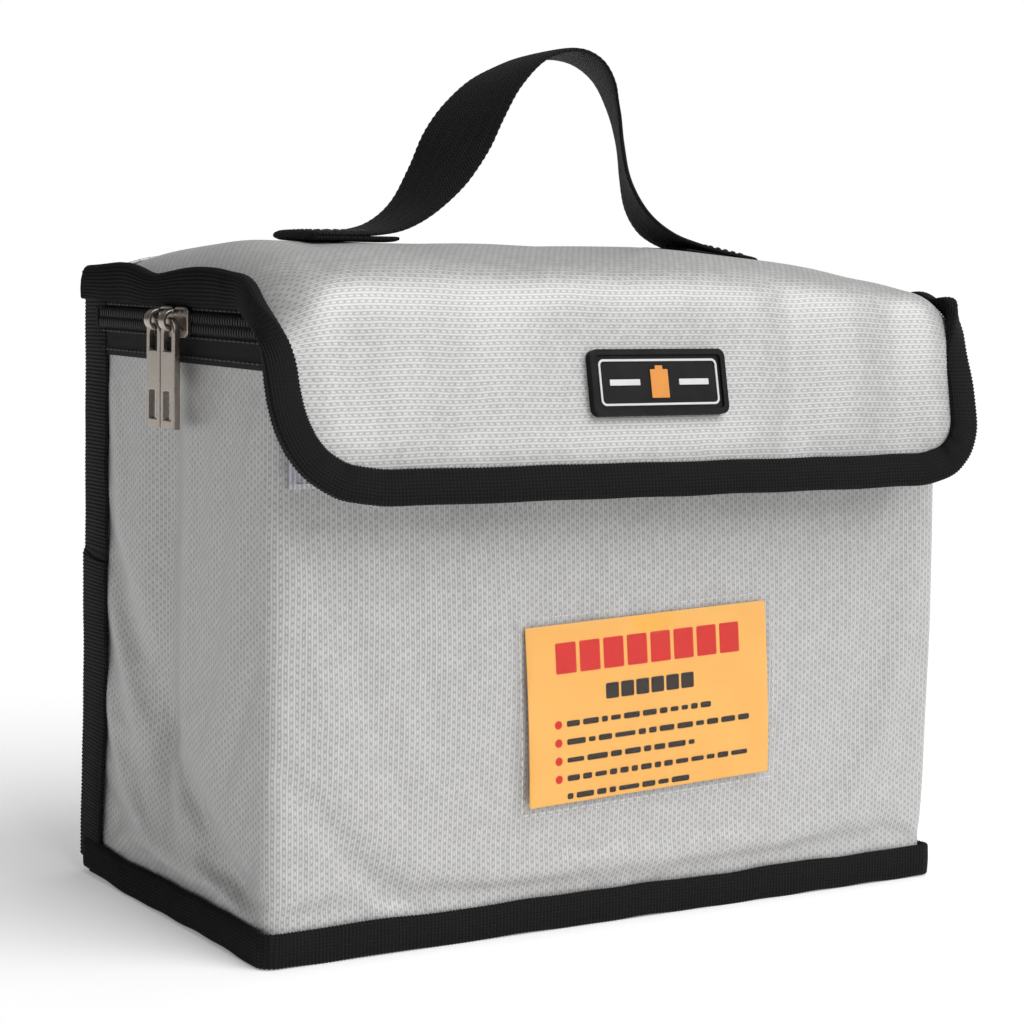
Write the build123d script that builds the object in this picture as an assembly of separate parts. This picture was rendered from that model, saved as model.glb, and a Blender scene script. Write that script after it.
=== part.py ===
from build123d import *
import math
import os

# Fire-resistant battery bag: padded body, zipped lid, front flap, webbing handle.
# Origin at the centre of the base underside, +Z up, the front with the flap towards -Y.

# Body, millimetres
BAG_W = 215.0  # left cloth face to right cloth face
BAG_D = 117.0  # front cloth face to back cloth face
CORNER_R = 6.0  # outer radius of the cloth round the two front upright edges
MIN_R = 1.0  # smallest corner radius of anything drawn further in
WALL_TOP = 153.0  # where the body cloth ends behind the lower zip tape
BACK_TOP = 170.4  # top of the back panel, just under the lid hinge

# Layers of every padded face, from outside in
CLOTH = 0.8
FELT = 2.0
LINING = 0.6

# Binding tape
TAPE_T = 1.0  # folded tape over an edge
TAPE_W = 9.0  # visible width of the tape
BASE_LEG = 7.0  # how far the base tape reaches in under the bag

# Lid
RIM_Z = 171.0  # lower edge of the lid, and height of its hinge line
CREST_Z = 182.0  # flat crown of the lid's soft dome
CROWN_W = 170.0  # length of the flat crown along X
CROWN_D = 28.0  # width of the flat crown along Y
LID_TAPE_Z = 164.8  # lower edge of the tape on the lid's two sides

# Zip round left, front and right
ZIP_TAPE_T = 0.6
ZIP_TAPE_Z = 150.0  # lower edge of the lower zip tape
COIL_OUT = 1.4  # how far the coil stands out of the cloth face
COIL_IN = 0.9
COIL_H = 2.4  # height of one row of coil
COIL_GAP = 1.2  # slot between the rows, for the slider's post
COIL_Z = 157.6  # underside of the lower row
ZIP_END_Y = 49.5  # zip tapes end here, at the back bindings
STOP_L = 2.5

# Front flap, laid out closed and then turned out to its resting angle
FLAP_HINGE_Y = -61.0
FLAP_HINGE_Z = 171.0
FLAP_REST_DEG = 12.0
FLAP_W = 225.0
FLAP_TOP_W = 217.0
FLAP_TOP_Z = 169.8
FLAP_SHOULDER_Z = 150.0  # below this height the flap is at full width
FLAP_BOTTOM_Z = 115.2
FLAP_CORNER_R = 26.0
FLAP_IN_Y = -61.9  # inner face of the flap lining
FLAP_LINING_T = 0.5
FLAP_PANEL_T = 1.5
FLAP_TAPE_IN = 0.5  # thickness of the tape's inner leg
FLAP_TAPE_OUT = 0.7  # thickness of the tape's outer leg
TAPE_EDGE = 0.8

# Hook-and-loop strips
STRIP_W = 205.0
STRIP_T = 1.5
LOOP_Z = (121.0, 141.0)
HOOK_Z = (128.0, 143.0)
HOOK_W = 190.0

# Clear pocket and its card on the front
CARD_W = 78.0
CARD_H = 48.0
CARD_T = 0.4
CARD_X = 5.0  # the pocket sits a little right of the middle
CARD_Z = 36.0
CARD_GAP = 0.3
POCKET_RIM = 3.0
VINYL_T = 0.4
NOTCH_R = 8.0
PRINT_T = 0.1

# Badge on the flap
BADGE_W = 43.0
BADGE_H = 17.5
BADGE_T = 1.6
BADGE_RIM = 1.5
BADGE_RIM_T = 0.7
BADGE_R = 2.2
BADGE_Z = 145.4
BORDER_INSET = 2.6
BORDER_W = 0.6
PRINT_RAISE = 0.3

# Webbing handle
WEB_W = 25.0
WEB_T = 1.6
END_L = 31.0
END_T = 2.6
END_X = (-70.0, 46.0)  # where the two sewn-down lengths begin
HANDLE_FOOT_Z = 185.2  # lowest point of the arch, just over its swing axis
HANDLE_SWING_DEG = 40.0
HANDLE_LINE = [(-40, HANDLE_FOOT_Z - 2), (-25, 211), (12, 238.6), (33, 213), (49, HANDLE_FOOT_Z - 2)]

# Sliders and pull tabs on the left side
SLIDER_Y = {"front": -11.2, "rear": -2.0}
SLIDER_L = 8.8
SLIDER_H = 8.0
PLATE_T = 1.2
PLATE_GAP = 0.3
POST_L = 3.0
POST_H = 0.9
PIVOT_X = -113.0
PIVOT_Z = 161.0
BAIL_R_IN = 1.9
BAIL_R_OUT = 2.9
BAIL_W = 3.2
TAB_W = 8.6
TAB_L = 29.0
TAB_T = 1.8
EYE_W = 5.0
EYE_H = 7.0
WINDOW_W = 5.2
WINDOW_H = 7.5
WINDOW_BAR = 2.3

HALF_W = BAG_W / 2
HALF_D = BAG_D / 2
PAD = CLOTH + FELT
WALL = PAD + LINING
COIL_MID_Z = COIL_Z + COIL_H + COIL_GAP / 2
UPPER_COIL_Z = COIL_Z + COIL_H + COIL_GAP
UPPER_TAPE_Z = UPPER_COIL_Z + COIL_H
FAR = 400.0


def block(x0, x1, y0, y1, z0, z1):
    """A box from its corner coordinates."""
    size = (abs(x1 - x0), abs(y1 - y0), abs(z1 - z0))
    return Pos((x0 + x1) / 2, (y0 + y1) / 2, (z0 + z1) / 2) * Box(*size)


def plan(offset):
    """The bag's outline seen from above, grown by offset, with the front corners rounded."""
    outline = Rectangle(BAG_W + 2 * offset, BAG_D + 2 * offset)
    front_corners = outline.vertices().sort_by(Axis.Y)[:2]
    return fillet(front_corners, max(CORNER_R + offset, MIN_R))


def slab(offset, z0, z1):
    """The bag's outline extruded between two heights."""
    return Pos(0, 0, z0) * extrude(plan(offset), z1 - z0)


def u_wall(outside, inside, z0, z1, y_end):
    """A wall round left, front and right, between two offsets, ending at y_end."""
    wall = slab(outside, z0, z1) - slab(inside, z0, z1)
    return wall - block(-FAR, FAR, y_end, FAR, z0 - 1, z1 + 1)


def mirror_x(part):
    """The same piece on the other side of the bag."""
    return mirror(part, about=Plane.YZ)


# Body cloth, padding and lining


def make_body():
    inner_x = HALF_W - CLOTH
    inner_y = HALF_D - CLOTH
    flat_x = HALF_W - CORNER_R
    flat_y = HALF_D - CORNER_R
    pad_x = HALF_W - PAD
    pad_y = HALF_D - PAD
    felt_top = WALL_TOP - 0.2
    left_felt = block(-inner_x, -pad_x, -flat_y, inner_y, PAD, felt_top)
    tub = Pos(0, 0, PAD) * extrude(plan(-PAD), WALL_TOP - PAD)
    hollow = Pos(0, 0, WALL) * extrude(plan(-WALL), WALL_TOP)
    return {
        "outer_wrap": u_wall(0, -CLOTH, CLOTH, WALL_TOP, inner_y),
        "back_panel": block(-HALF_W, HALF_W, inner_y, HALF_D, CLOTH, BACK_TOP),
        "base_panel": slab(-BASE_LEG, 0, CLOTH),
        "base_felt": slab(-CLOTH, CLOTH, PAD),
        "front_felt": block(-flat_x, flat_x, -inner_y, -pad_y, PAD, felt_top),
        "back_felt": block(-pad_x, pad_x, pad_y, inner_y, PAD, BACK_TOP - 1),
        "left_felt": left_felt,
        "right_felt": mirror_x(left_felt),
        "inner_lining": tub - hollow,
    }


# Binding tape round the base and up the two back corners


def make_body_bindings():
    base = slab(TAPE_T, 0, TAPE_W) - slab(0, CLOTH, TAPE_W) - slab(-BASE_LEG, 0, CLOTH)
    out_x = HALF_W + TAPE_T
    side_leg = block(-out_x, -HALF_W, ZIP_END_Y, HALF_D, TAPE_W, BACK_TOP)
    back_leg = block(-out_x, -out_x + TAPE_W + TAPE_T, HALF_D, HALF_D + TAPE_T, TAPE_W, BACK_TOP)
    left = side_leg + back_leg
    return {
        "base_binding": base,
        "back_left_binding": left,
        "back_right_binding": mirror_x(left),
    }


# Zip: two tapes, two rows of coil, and the sewn stops at the back


def make_zip():
    coil_end = ZIP_END_Y - STOP_L
    coil_out_x = HALF_W + COIL_OUT
    coil_in_x = HALF_W - COIL_IN
    stop = block(-coil_out_x, -coil_in_x, coil_end, ZIP_END_Y, COIL_Z, UPPER_TAPE_Z)
    lower = {
        "lower_zip_tape": u_wall(ZIP_TAPE_T, 0, ZIP_TAPE_Z, COIL_Z, ZIP_END_Y),
        "lower_zip_coil": u_wall(COIL_OUT, -COIL_IN, COIL_Z, COIL_Z + COIL_H, coil_end),
        "zip_stop_left": stop,
        "zip_stop_right": mirror_x(stop),
    }
    upper = {
        "upper_zip_tape": u_wall(ZIP_TAPE_T, 0, UPPER_TAPE_Z, RIM_Z, coil_end),
        "upper_zip_coil": u_wall(COIL_OUT, -COIL_IN, UPPER_COIL_Z, UPPER_TAPE_Z, coil_end),
    }
    return lower | upper


# Front of the body: loop strip, clear pocket, card and its print


def make_front():
    strip = block(-STRIP_W / 2, STRIP_W / 2, -HALF_D - STRIP_T, -HALF_D, *LOOP_Z)
    slot_w = CARD_W / 2 + CARD_GAP
    depth = CARD_T + 2 * CARD_GAP
    rim_x = slot_w + POCKET_RIM
    floor_z = CARD_Z - CARD_GAP
    top_z = CARD_Z + CARD_H + POCKET_RIM
    left = CARD_X - rim_x
    right = CARD_X + rim_x
    outer = block(left, right, -HALF_D - depth - VINYL_T, -HALF_D, floor_z - POCKET_RIM, top_z)
    slot = block(CARD_X - slot_w, CARD_X + slot_w, -HALF_D - depth, -HALF_D, floor_z, top_z)
    notch = Pos(CARD_X, -HALF_D, top_z) * Rot(90, 0, 0) * Cylinder(NOTCH_R, 4 * depth)
    return {"front_loop_strip": strip, "window_pocket": outer - slot - notch}


def print_block(x, z, width, height):
    """One printed block on the card's face, at x from the card's middle and at height z."""
    face_y = -HALF_D - CARD_GAP - CARD_T
    x += CARD_X
    return block(x - width / 2, x + width / 2, face_y - PRINT_T, face_y, z - height / 2, z + height / 2)


def make_card():
    face_y = -HALF_D - CARD_GAP
    left = CARD_X - CARD_W / 2
    card = block(left, left + CARD_W, face_y - CARD_T, face_y, CARD_Z, CARD_Z + CARD_H)
    heading_z = CARD_Z + CARD_H - 9.5
    red = [print_block(0, heading_z, 60.0, 7.5)]
    dark = [print_block(0, heading_z - 10.0, 30.0, 4.0)]
    first_line_z = CARD_Z + 21.0
    for row in range(4):
        z = first_line_z - 5.2 * row
        red.append(print_block(-31.0, z, 2.0, 2.0))
        dark.append(print_block(2.0 - 2.5 * (row % 2), z, 57.0 - 5.0 * (row % 2), 1.3))
    return {
        "info_card": card,
        "card_red_print": Compound(red),
        "card_dark_print": Compound(dark),
    }


# Lid: three nested shells of one soft dome, and the tape along its two sides


def dome(inset):
    """The solid dome under the lid's outer face, drawn in by inset."""
    half_w = HALF_W - inset
    half_d = HALF_D - inset
    top = CREST_Z - inset

    def arch(half, crown, plane, length):
        rim_left = (-half, RIM_Z)
        rim_right = (half, RIM_Z)
        crown_left = (-crown / 2, top)
        crown_right = (crown / 2, top)
        edges = [
            TangentArc([crown_left, rim_left], tangent=(-1, 0)),
            Line(crown_left, crown_right),
            TangentArc([crown_right, rim_right], tangent=(1, 0)),
            Line(rim_right, rim_left),
        ]
        return extrude(plane * make_face(edges), length, both=True)

    along_y = arch(half_w, CROWN_W, Plane.XZ, half_d)
    along_x = arch(half_d, CROWN_D, Plane.YZ, half_w)
    return along_y & along_x


def make_lid():
    out_x = HALF_W + ZIP_TAPE_T + TAPE_T
    leg = block(-out_x, -out_x + TAPE_T, -HALF_D + CORNER_R, ZIP_END_Y - 0.3, LID_TAPE_Z, RIM_Z + 1.6)
    cap = block(-out_x, -HALF_W, -HALF_D + CORNER_R, ZIP_END_Y - 0.3, RIM_Z, RIM_Z + 1.6)
    left = leg + cap
    return {
        "lid_panel": dome(0) - dome(CLOTH),
        "lid_felt": dome(CLOTH) - dome(PAD),
        "lid_lining": dome(PAD) - dome(WALL),
        "lid_left_binding": left,
        "lid_right_binding": mirror_x(left),
    }


# Handle: two sewn-down ends on the lid, and the free arch between them


def make_handle():
    ends = {}
    for side, x in zip(("left", "right"), END_X):
        ends["handle_end_" + side] = block(x, x + END_L, -WEB_W / 2, WEB_W / 2, CREST_Z, CREST_Z + END_T)
    line = Plane.XZ * Spline(HANDLE_LINE, tangents=[(1, 1.2), (1, -1.2)])
    section = Plane(line @ 0, x_dir=(0, 1, 0), z_dir=line % 0) * Rectangle(WEB_W, WEB_T)
    arch = sweep(section, path=line)
    # The feet taper so that the arch can swing both ways without touching the lid.
    rise = FAR * math.tan(math.radians(HANDLE_SWING_DEG + 2))
    above = Polyline((0, HANDLE_FOOT_Z), (FAR, HANDLE_FOOT_Z + rise), (-FAR, HANDLE_FOOT_Z + rise), close=True)
    clear_space = extrude(Plane.YZ * make_face(above), FAR, both=True)
    return ends | {"handle_loop": arch & clear_space}


# Flap, built closed against the front and turned out to rest


def flap_outline(inset, thick, y):
    """The flap's outline drawn in by inset, as a plate whose inner face is at y."""
    top = FLAP_TOP_W / 2 - inset
    side = FLAP_W / 2 - inset
    bottom = FLAP_BOTTOM_Z + inset
    points = [(-top, FLAP_TOP_Z), (-side, FLAP_SHOULDER_Z), (-side, bottom)]
    points += [(-x, z) for x, z in reversed(points)]
    face = make_face(Polyline(points, close=True))
    lower = face.vertices().sort_by(Axis.Y)[:2]
    face = fillet(lower, FLAP_CORNER_R - inset)
    return extrude(Pos(0, y, 0) * (Plane.XZ * face), thick)


def rounded_plate(width, height, radius, y, thick):
    """A rounded plate centred on the badge, standing out from y."""
    return extrude(Pos(0, y, BADGE_Z) * (Plane.XZ * RectangleRounded(width, height, radius)), thick)


def make_badge(face_y):
    plate = rounded_plate(BADGE_W, BADGE_H, BADGE_R, face_y, BADGE_T + BADGE_RIM_T)
    plate_y = face_y - BADGE_T
    shrink = 2 * BADGE_RIM
    plate -= rounded_plate(BADGE_W - shrink, BADGE_H - shrink, BADGE_R - 1, plate_y, BADGE_RIM_T)
    shrink = 2 * BORDER_INSET
    border = rounded_plate(BADGE_W - shrink, BADGE_H - shrink, 1.6, plate_y, PRINT_RAISE)
    shrink += 2 * BORDER_W
    border -= rounded_plate(BADGE_W - shrink, BADGE_H - shrink, 1.1, plate_y, PRINT_RAISE)

    def mark(x, z, width, height):
        return block(x - width / 2, x + width / 2, plate_y - PRINT_RAISE, plate_y, z - height / 2, z + height / 2)

    cell = mark(0, BADGE_Z - 0.4, 5.6, 7.6)
    terminal = mark(0, BADGE_Z + 3.9, 2.4, 1.0)
    bars = [mark(x, BADGE_Z, 9.5, 1.6) for x in (-11.0, 11.0)]
    return {"badge": plate, "badge_border": border, "badge_emblem": cell + terminal, "badge_bars": Compound(bars)}


def make_flap():
    panel_y = FLAP_IN_Y - FLAP_LINING_T
    face_y = panel_y - FLAP_PANEL_T
    tape_in_y = FLAP_IN_Y + FLAP_TAPE_IN
    tape_t = tape_in_y - face_y + FLAP_TAPE_OUT
    binding = flap_outline(0, tape_t, tape_in_y)
    binding -= flap_outline(TAPE_W, tape_t, tape_in_y)
    binding -= flap_outline(TAPE_EDGE, FLAP_IN_Y - face_y, FLAP_IN_Y)
    pieces = {
        "flap_panel": flap_outline(TAPE_EDGE, FLAP_PANEL_T, panel_y),
        "flap_lining": flap_outline(TAPE_EDGE, FLAP_LINING_T, FLAP_IN_Y),
        "flap_binding": binding,
        "flap_hook_strip": block(-HOOK_W / 2, HOOK_W / 2, FLAP_IN_Y, FLAP_IN_Y + STRIP_T, *HOOK_Z),
    }
    pieces |= make_badge(face_y)
    hinge = Axis((0, FLAP_HINGE_Y, FLAP_HINGE_Z), (-1, 0, 0))
    return {name: piece.rotate(hinge, FLAP_REST_DEG) for name, piece in pieces.items()}


# Sliders with their bails, and the metal pull tabs that hang from them


def make_slider(y):
    out_x = -HALF_W - COIL_OUT - PLATE_GAP
    in_x = -HALF_W + COIL_IN + PLATE_GAP
    z0 = COIL_MID_Z - SLIDER_H / 2
    z1 = COIL_MID_Z + SLIDER_H / 2
    y0 = y - SLIDER_L / 2
    y1 = y + SLIDER_L / 2
    outer = block(out_x - PLATE_T, out_x, y0, y1, z0, z1)
    outer = fillet(outer.edges().filter_by(Axis.X), 2.0)
    outer = fillet(outer.faces().sort_by(Axis.X)[0].edges(), 0.4)
    inner = block(in_x, in_x + PLATE_T, y0, y1, z0, z1)
    inner = fillet(inner.edges().filter_by(Axis.X), 2.0)
    post = block(out_x, in_x, y - POST_L / 2, y + POST_L / 2, COIL_MID_Z - POST_H / 2, COIL_MID_Z + POST_H / 2)
    lip = block(out_x, out_x + 0.7, y0 + 2, y1 - 2, z0, z0 + 0.6)
    return outer + inner + post + lip


def make_bail(y):
    plate_x = -HALF_W - COIL_OUT - PLATE_GAP - PLATE_T
    ring = Circle(BAIL_R_OUT) - Circle(BAIL_R_IN)
    half_ring = ring & (Pos(-BAIL_R_OUT, 0) * Rectangle(2 * BAIL_R_OUT, 4 * BAIL_R_OUT))
    reach = plate_x - PIVOT_X
    legs = Rectangle(reach, 2 * BAIL_R_OUT) - Rectangle(reach, 2 * BAIL_R_IN)
    profile = half_ring + Pos(reach / 2, 0) * legs
    return extrude(Pos(PIVOT_X, y, PIVOT_Z) * (Plane.XZ * profile), BAIL_W / 2, both=True)


def make_pull(y):
    """A flat tab with a rounded eye at the top and a rectangular window at the foot."""
    ring_r = TAB_W / 2
    top = (ring_r - EYE_W / 2) / 2
    ring_z = top - ring_r
    foot = top - TAB_L
    body = Pos(0, (ring_z + foot) / 2) * Rectangle(TAB_W, ring_z - foot)
    body += Pos(0, ring_z) * Circle(ring_r)
    eye_low = ring_z + EYE_W / 2 - EYE_H
    eye = Pos(0, ring_z) * Circle(EYE_W / 2)
    eye += Pos(0, (ring_z + eye_low) / 2) * Rectangle(EYE_W, ring_z - eye_low)
    window = Pos(0, foot + WINDOW_BAR + WINDOW_H / 2) * Rectangle(WINDOW_W, WINDOW_H)
    tab = extrude(Plane.YZ * (body - eye - window), TAB_T / 2, both=True)
    front, back = tab.faces().sort_by(Axis.X)[0], tab.faces().sort_by(Axis.X)[-1]
    rim = front.outer_wire().edges() + back.outer_wire().edges()
    return Pos(PIVOT_X, y, PIVOT_Z) * fillet(rim, 0.35)


def make_pulls():
    pieces = {}
    for name, y in SLIDER_Y.items():
        pieces["slider_" + name] = make_slider(y)
        pieces["bail_" + name] = make_bail(y)
        pieces["pull_" + name] = make_pull(y)
    return pieces


pieces = make_body() | make_body_bindings() | make_zip() | make_front() | make_card()
pieces |= make_lid() | make_handle() | make_flap() | make_pulls()

os.makedirs("parts", exist_ok=True)
for name, piece in pieces.items():
    export_step(piece, "parts/" + name + ".step")
print(len(pieces), "nodes written")
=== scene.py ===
import math
import random

import bmesh
import bpy
import numpy as np
from mathutils import Matrix, Vector
from mathutils.bvhtree import BVHTree


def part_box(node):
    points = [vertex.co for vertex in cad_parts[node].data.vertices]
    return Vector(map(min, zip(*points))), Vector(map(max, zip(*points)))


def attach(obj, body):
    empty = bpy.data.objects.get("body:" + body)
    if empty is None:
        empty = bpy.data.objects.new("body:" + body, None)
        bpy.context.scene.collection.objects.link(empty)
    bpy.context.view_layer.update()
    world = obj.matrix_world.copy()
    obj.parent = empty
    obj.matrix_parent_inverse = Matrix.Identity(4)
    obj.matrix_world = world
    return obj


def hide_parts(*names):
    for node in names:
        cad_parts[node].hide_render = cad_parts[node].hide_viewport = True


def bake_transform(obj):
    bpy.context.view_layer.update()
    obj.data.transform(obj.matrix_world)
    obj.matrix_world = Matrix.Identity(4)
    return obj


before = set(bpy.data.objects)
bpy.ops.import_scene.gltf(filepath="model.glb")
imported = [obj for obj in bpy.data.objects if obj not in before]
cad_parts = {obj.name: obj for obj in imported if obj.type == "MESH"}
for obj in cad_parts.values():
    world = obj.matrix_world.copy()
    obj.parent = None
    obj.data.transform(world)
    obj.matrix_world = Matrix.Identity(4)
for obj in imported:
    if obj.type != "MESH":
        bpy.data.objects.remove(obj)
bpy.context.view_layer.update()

# Sizes are in millimetres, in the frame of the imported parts, and become metres in make_object().
MM = 0.001


def node_box(name):
    """A CAD node's lowest and highest corner, in millimetres."""
    low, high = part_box(name)
    return np.array(low) / MM, np.array(high) / MM


body_low, body_high = node_box("outer_wrap")

HALF_W = body_high[0]  # cloth faces of the body
FRONT_Y = body_low[1]
BACK_Y = node_box("back_panel")[1][1]
WALL_TOP = body_high[2]
RIM_Z = node_box("lid_panel")[0][2]  # lower edge of the lid
CORNER_R = 4.0
CLOTH = 0.8
PAD = 2.8  # cloth and felt together
TAPE_W = node_box("base_binding")[1][2]  # width of the binding tape
RIB = 1.05  # pitch of the tape's cross ribs
FLAP_HINGE = (-61.0, RIM_Z)  # y and z
FLAP_REST = math.radians(12.0)  # how far the flap stands off when it rests
FLAP_FACE_Y = -63.9  # outer face of the closed flap
FLAP_BOTTOM_Z = 115.2
# Where the lid gives way to the flap, in metres.
BAG_MIDDLE = np.array([0.0, 0.0, 80.0])


# ---------------------------------------------------------------- mesh helpers


def make_object(name, verts, faces, uvs=None, smooth=True):
    """A mesh object from millimetre vertices. uvs are millimetres too, one pair per vertex."""
    mesh = bpy.data.meshes.new(name)
    mesh.from_pydata((np.asarray(verts, float) * MM).tolist(), [], [list(map(int, f)) for f in faces])
    if uvs is not None:
        layer = mesh.uv_layers.new(name="UVMap")
        corner = np.zeros(len(mesh.loops), np.int32)
        mesh.loops.foreach_get("vertex_index", corner)
        layer.data.foreach_set("uv", (np.asarray(uvs, float)[corner] * MM).ravel())
    if smooth:
        mesh.polygons.foreach_set("use_smooth", [True] * len(mesh.polygons))
    mesh.update()
    obj = bpy.data.objects.new(name, mesh)
    bpy.context.scene.collection.objects.link(obj)
    return obj


def grid_faces(rows, cols, wrap_rows=False, wrap_cols=False):
    """Quads of a grid whose vertex (r, c) is number r * cols + c."""
    r = np.arange(rows if wrap_rows else rows - 1)
    c = np.arange(cols if wrap_cols else cols - 1)
    rr, cc = np.meshgrid(r, c, indexing="ij")
    r2, c2 = (rr + 1) % rows, (cc + 1) % cols
    quads = np.stack([rr * cols + cc, r2 * cols + cc, r2 * cols + c2, rr * cols + c2], -1)
    return quads.reshape(-1, 4)


def grid_object(name, points, uvs, wrap_cols=False):
    """A surface through points[row, column], facing away from the middle of the bag."""
    rows, cols = points.shape[:2]
    faces = grid_faces(rows, cols, False, wrap_cols)
    flat = points.reshape(-1, 3)
    a, b, c = (flat[faces[:, k]] for k in (0, 1, 3))
    outward = np.cross(b - a, c - a) * (a - BAG_MIDDLE)
    if outward.sum() < 0:
        faces = faces[:, ::-1]
    return make_object(name, flat, faces, uvs.reshape(-1, 2))


def apply_modifiers(obj):
    """Replaces the object's mesh by what its modifiers make of it."""
    depsgraph = bpy.context.evaluated_depsgraph_get()
    mesh = bpy.data.meshes.new_from_object(obj.evaluated_get(depsgraph))
    obj.modifiers.clear()
    obj.data = mesh


def subdivide(obj):
    """Splits every face in four, smoothly."""
    mod = obj.modifiers.new("Smooth", "SUBSURF")
    mod.levels = mod.render_levels = 1
    apply_modifiers(obj)


def solidify(obj, thickness, offset=-1.0):
    """Gives a surface its thickness in millimetres; offset -1 keeps the outer face where it is."""
    mod = obj.modifiers.new("Thickness", "SOLIDIFY")
    mod.thickness = thickness * MM
    mod.offset = offset
    mod.use_even_offset = True
    mod.use_rim = True
    apply_modifiers(obj)


def arc_lengths(points):
    """Distance along a polyline, starting at 0."""
    steps = np.linalg.norm(np.diff(points, axis=0), axis=1)
    return np.concatenate([[0.0], np.cumsum(steps)])


def unit(vectors):
    return vectors / np.linalg.norm(vectors, axis=-1, keepdims=True)


def look_up(at, along, rows):
    """The rows that belong to the values along, read off at other values."""
    return np.stack([np.interp(at, along, rows[:, k]) for k in range(rows.shape[1])], -1)


def resample(points, distances):
    """Points of a polyline at the given distances along it."""
    return look_up(distances, arc_lengths(points), points)


def spread(points, count):
    """A number of points at even distances along a polyline."""
    return resample(points, np.linspace(0, arc_lengths(points)[-1], count))


def tangents(points, distances, reach, ends=None):
    """Directions of a polyline, each between its points at reach behind and reach ahead."""
    first, last = ends or (distances[0], distances[-1])
    ahead = resample(points, np.minimum(distances + reach, last))
    behind = resample(points, np.maximum(distances - reach, first))
    return unit(ahead - behind)


def loop_tangents(points):
    """The same at every point of a closed polyline."""
    return unit(np.roll(points[:-1], -1, 0) - np.roll(points[:-1], 1, 0))


def square_to(vectors, tangent):
    """Vectors made square to the tangents and of length 1."""
    return unit(vectors - (vectors * tangent).sum(1)[:, None] * tangent)


def plan_normals(tangent):
    """Normals in plan, for lines that have the bag on their left hand side."""
    return np.stack([tangent[:, 1], -tangent[:, 0]], -1)


def smooth_polyline(points, blur, step=0.5):
    """A polyline resampled evenly and softened at its corners over about blur millimetres."""
    points = np.asarray(points, float)
    total = arc_lengths(points)[-1]
    count = max(int(total / step), 8)
    dense = spread(points, count + 1)
    reach = int(3 * blur / step)
    kernel = np.exp(-0.5 * (np.arange(-reach, reach + 1) * step / blur) ** 2)
    kernel /= kernel.sum()
    start = 2 * dense[0] - dense[reach:0:-1] if reach else dense[:0]
    end = 2 * dense[-1] - dense[-2 : -reach - 2 : -1] if reach else dense[:0]
    padded = np.concatenate([start, dense, end])
    return np.stack([np.convolve(padded[:, k], kernel, "valid") for k in range(points.shape[1])], -1)


def smoothstep(x):
    x = np.clip(x, 0.0, 1.0)
    return x * x * (3 - 2 * x)


def bump(x, centre, width):
    """A soft bell of height 1."""
    return np.exp(-0.5 * ((x - centre) / width) ** 2)


def crease(x, z, start, end, width, fade=12.0):
    """1 along the line from start to end, falling off to its sides over width and past its ends over fade."""
    start, end = np.asarray(start, float), np.asarray(end, float)
    line = end - start
    length = np.hypot(*line)
    ux, uz = line / length
    along = (x - start[0]) * ux + (z - start[1]) * uz
    across = (x - start[0]) * uz - (z - start[1]) * ux
    outside = np.maximum(np.maximum(-along, along - length), 0)
    return np.exp(-0.5 * (across / width) ** 2 - 0.5 * (outside / fade) ** 2)


def soft_noise(u, v, scale, seed):
    """Smooth seeded noise between about -1 and 1, from a few crossed waves."""
    rng = np.random.default_rng(seed)
    total = np.zeros(np.broadcast(u, v).shape)
    for _ in range(7):
        angle = rng.uniform(0, math.tau)
        k = math.tau / (scale * rng.uniform(0.7, 1.6))
        total += np.sin(k * (u * math.cos(angle) + v * math.sin(angle)) + rng.uniform(0, math.tau))
    return total / 4.0


# ---------------------------------------------------------------- materials


class Value:
    """A number inside a node tree: arithmetic with it makes math nodes."""

    def __init__(self, nodes, socket):
        self.nodes = nodes
        self.socket = socket

    def __add__(self, other):
        return self.nodes.math("ADD", self, other)

    def __sub__(self, other):
        return self.nodes.math("SUBTRACT", self, other)

    def __rsub__(self, other):
        return self.nodes.math("SUBTRACT", other, self)

    def __mul__(self, other):
        return self.nodes.math("MULTIPLY", self, other)

    def __truediv__(self, other):
        return self.nodes.math("DIVIDE", self, other)

    def __mod__(self, other):
        return self.nodes.math("FLOORED_MODULO", self, other)


SHADER_INPUTS = {
    "color": "Base Color",
    "rough": "Roughness",
    "metal": "Metallic",
    "normal": "Normal",
    "spec": "Specular IOR Level",
    "sheen": "Sheen Weight",
    "sheen_rough": "Sheen Roughness",
    "alpha": "Alpha",
    "glow": "Emission Color",
    "glow_strength": "Emission Strength",
}


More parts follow.
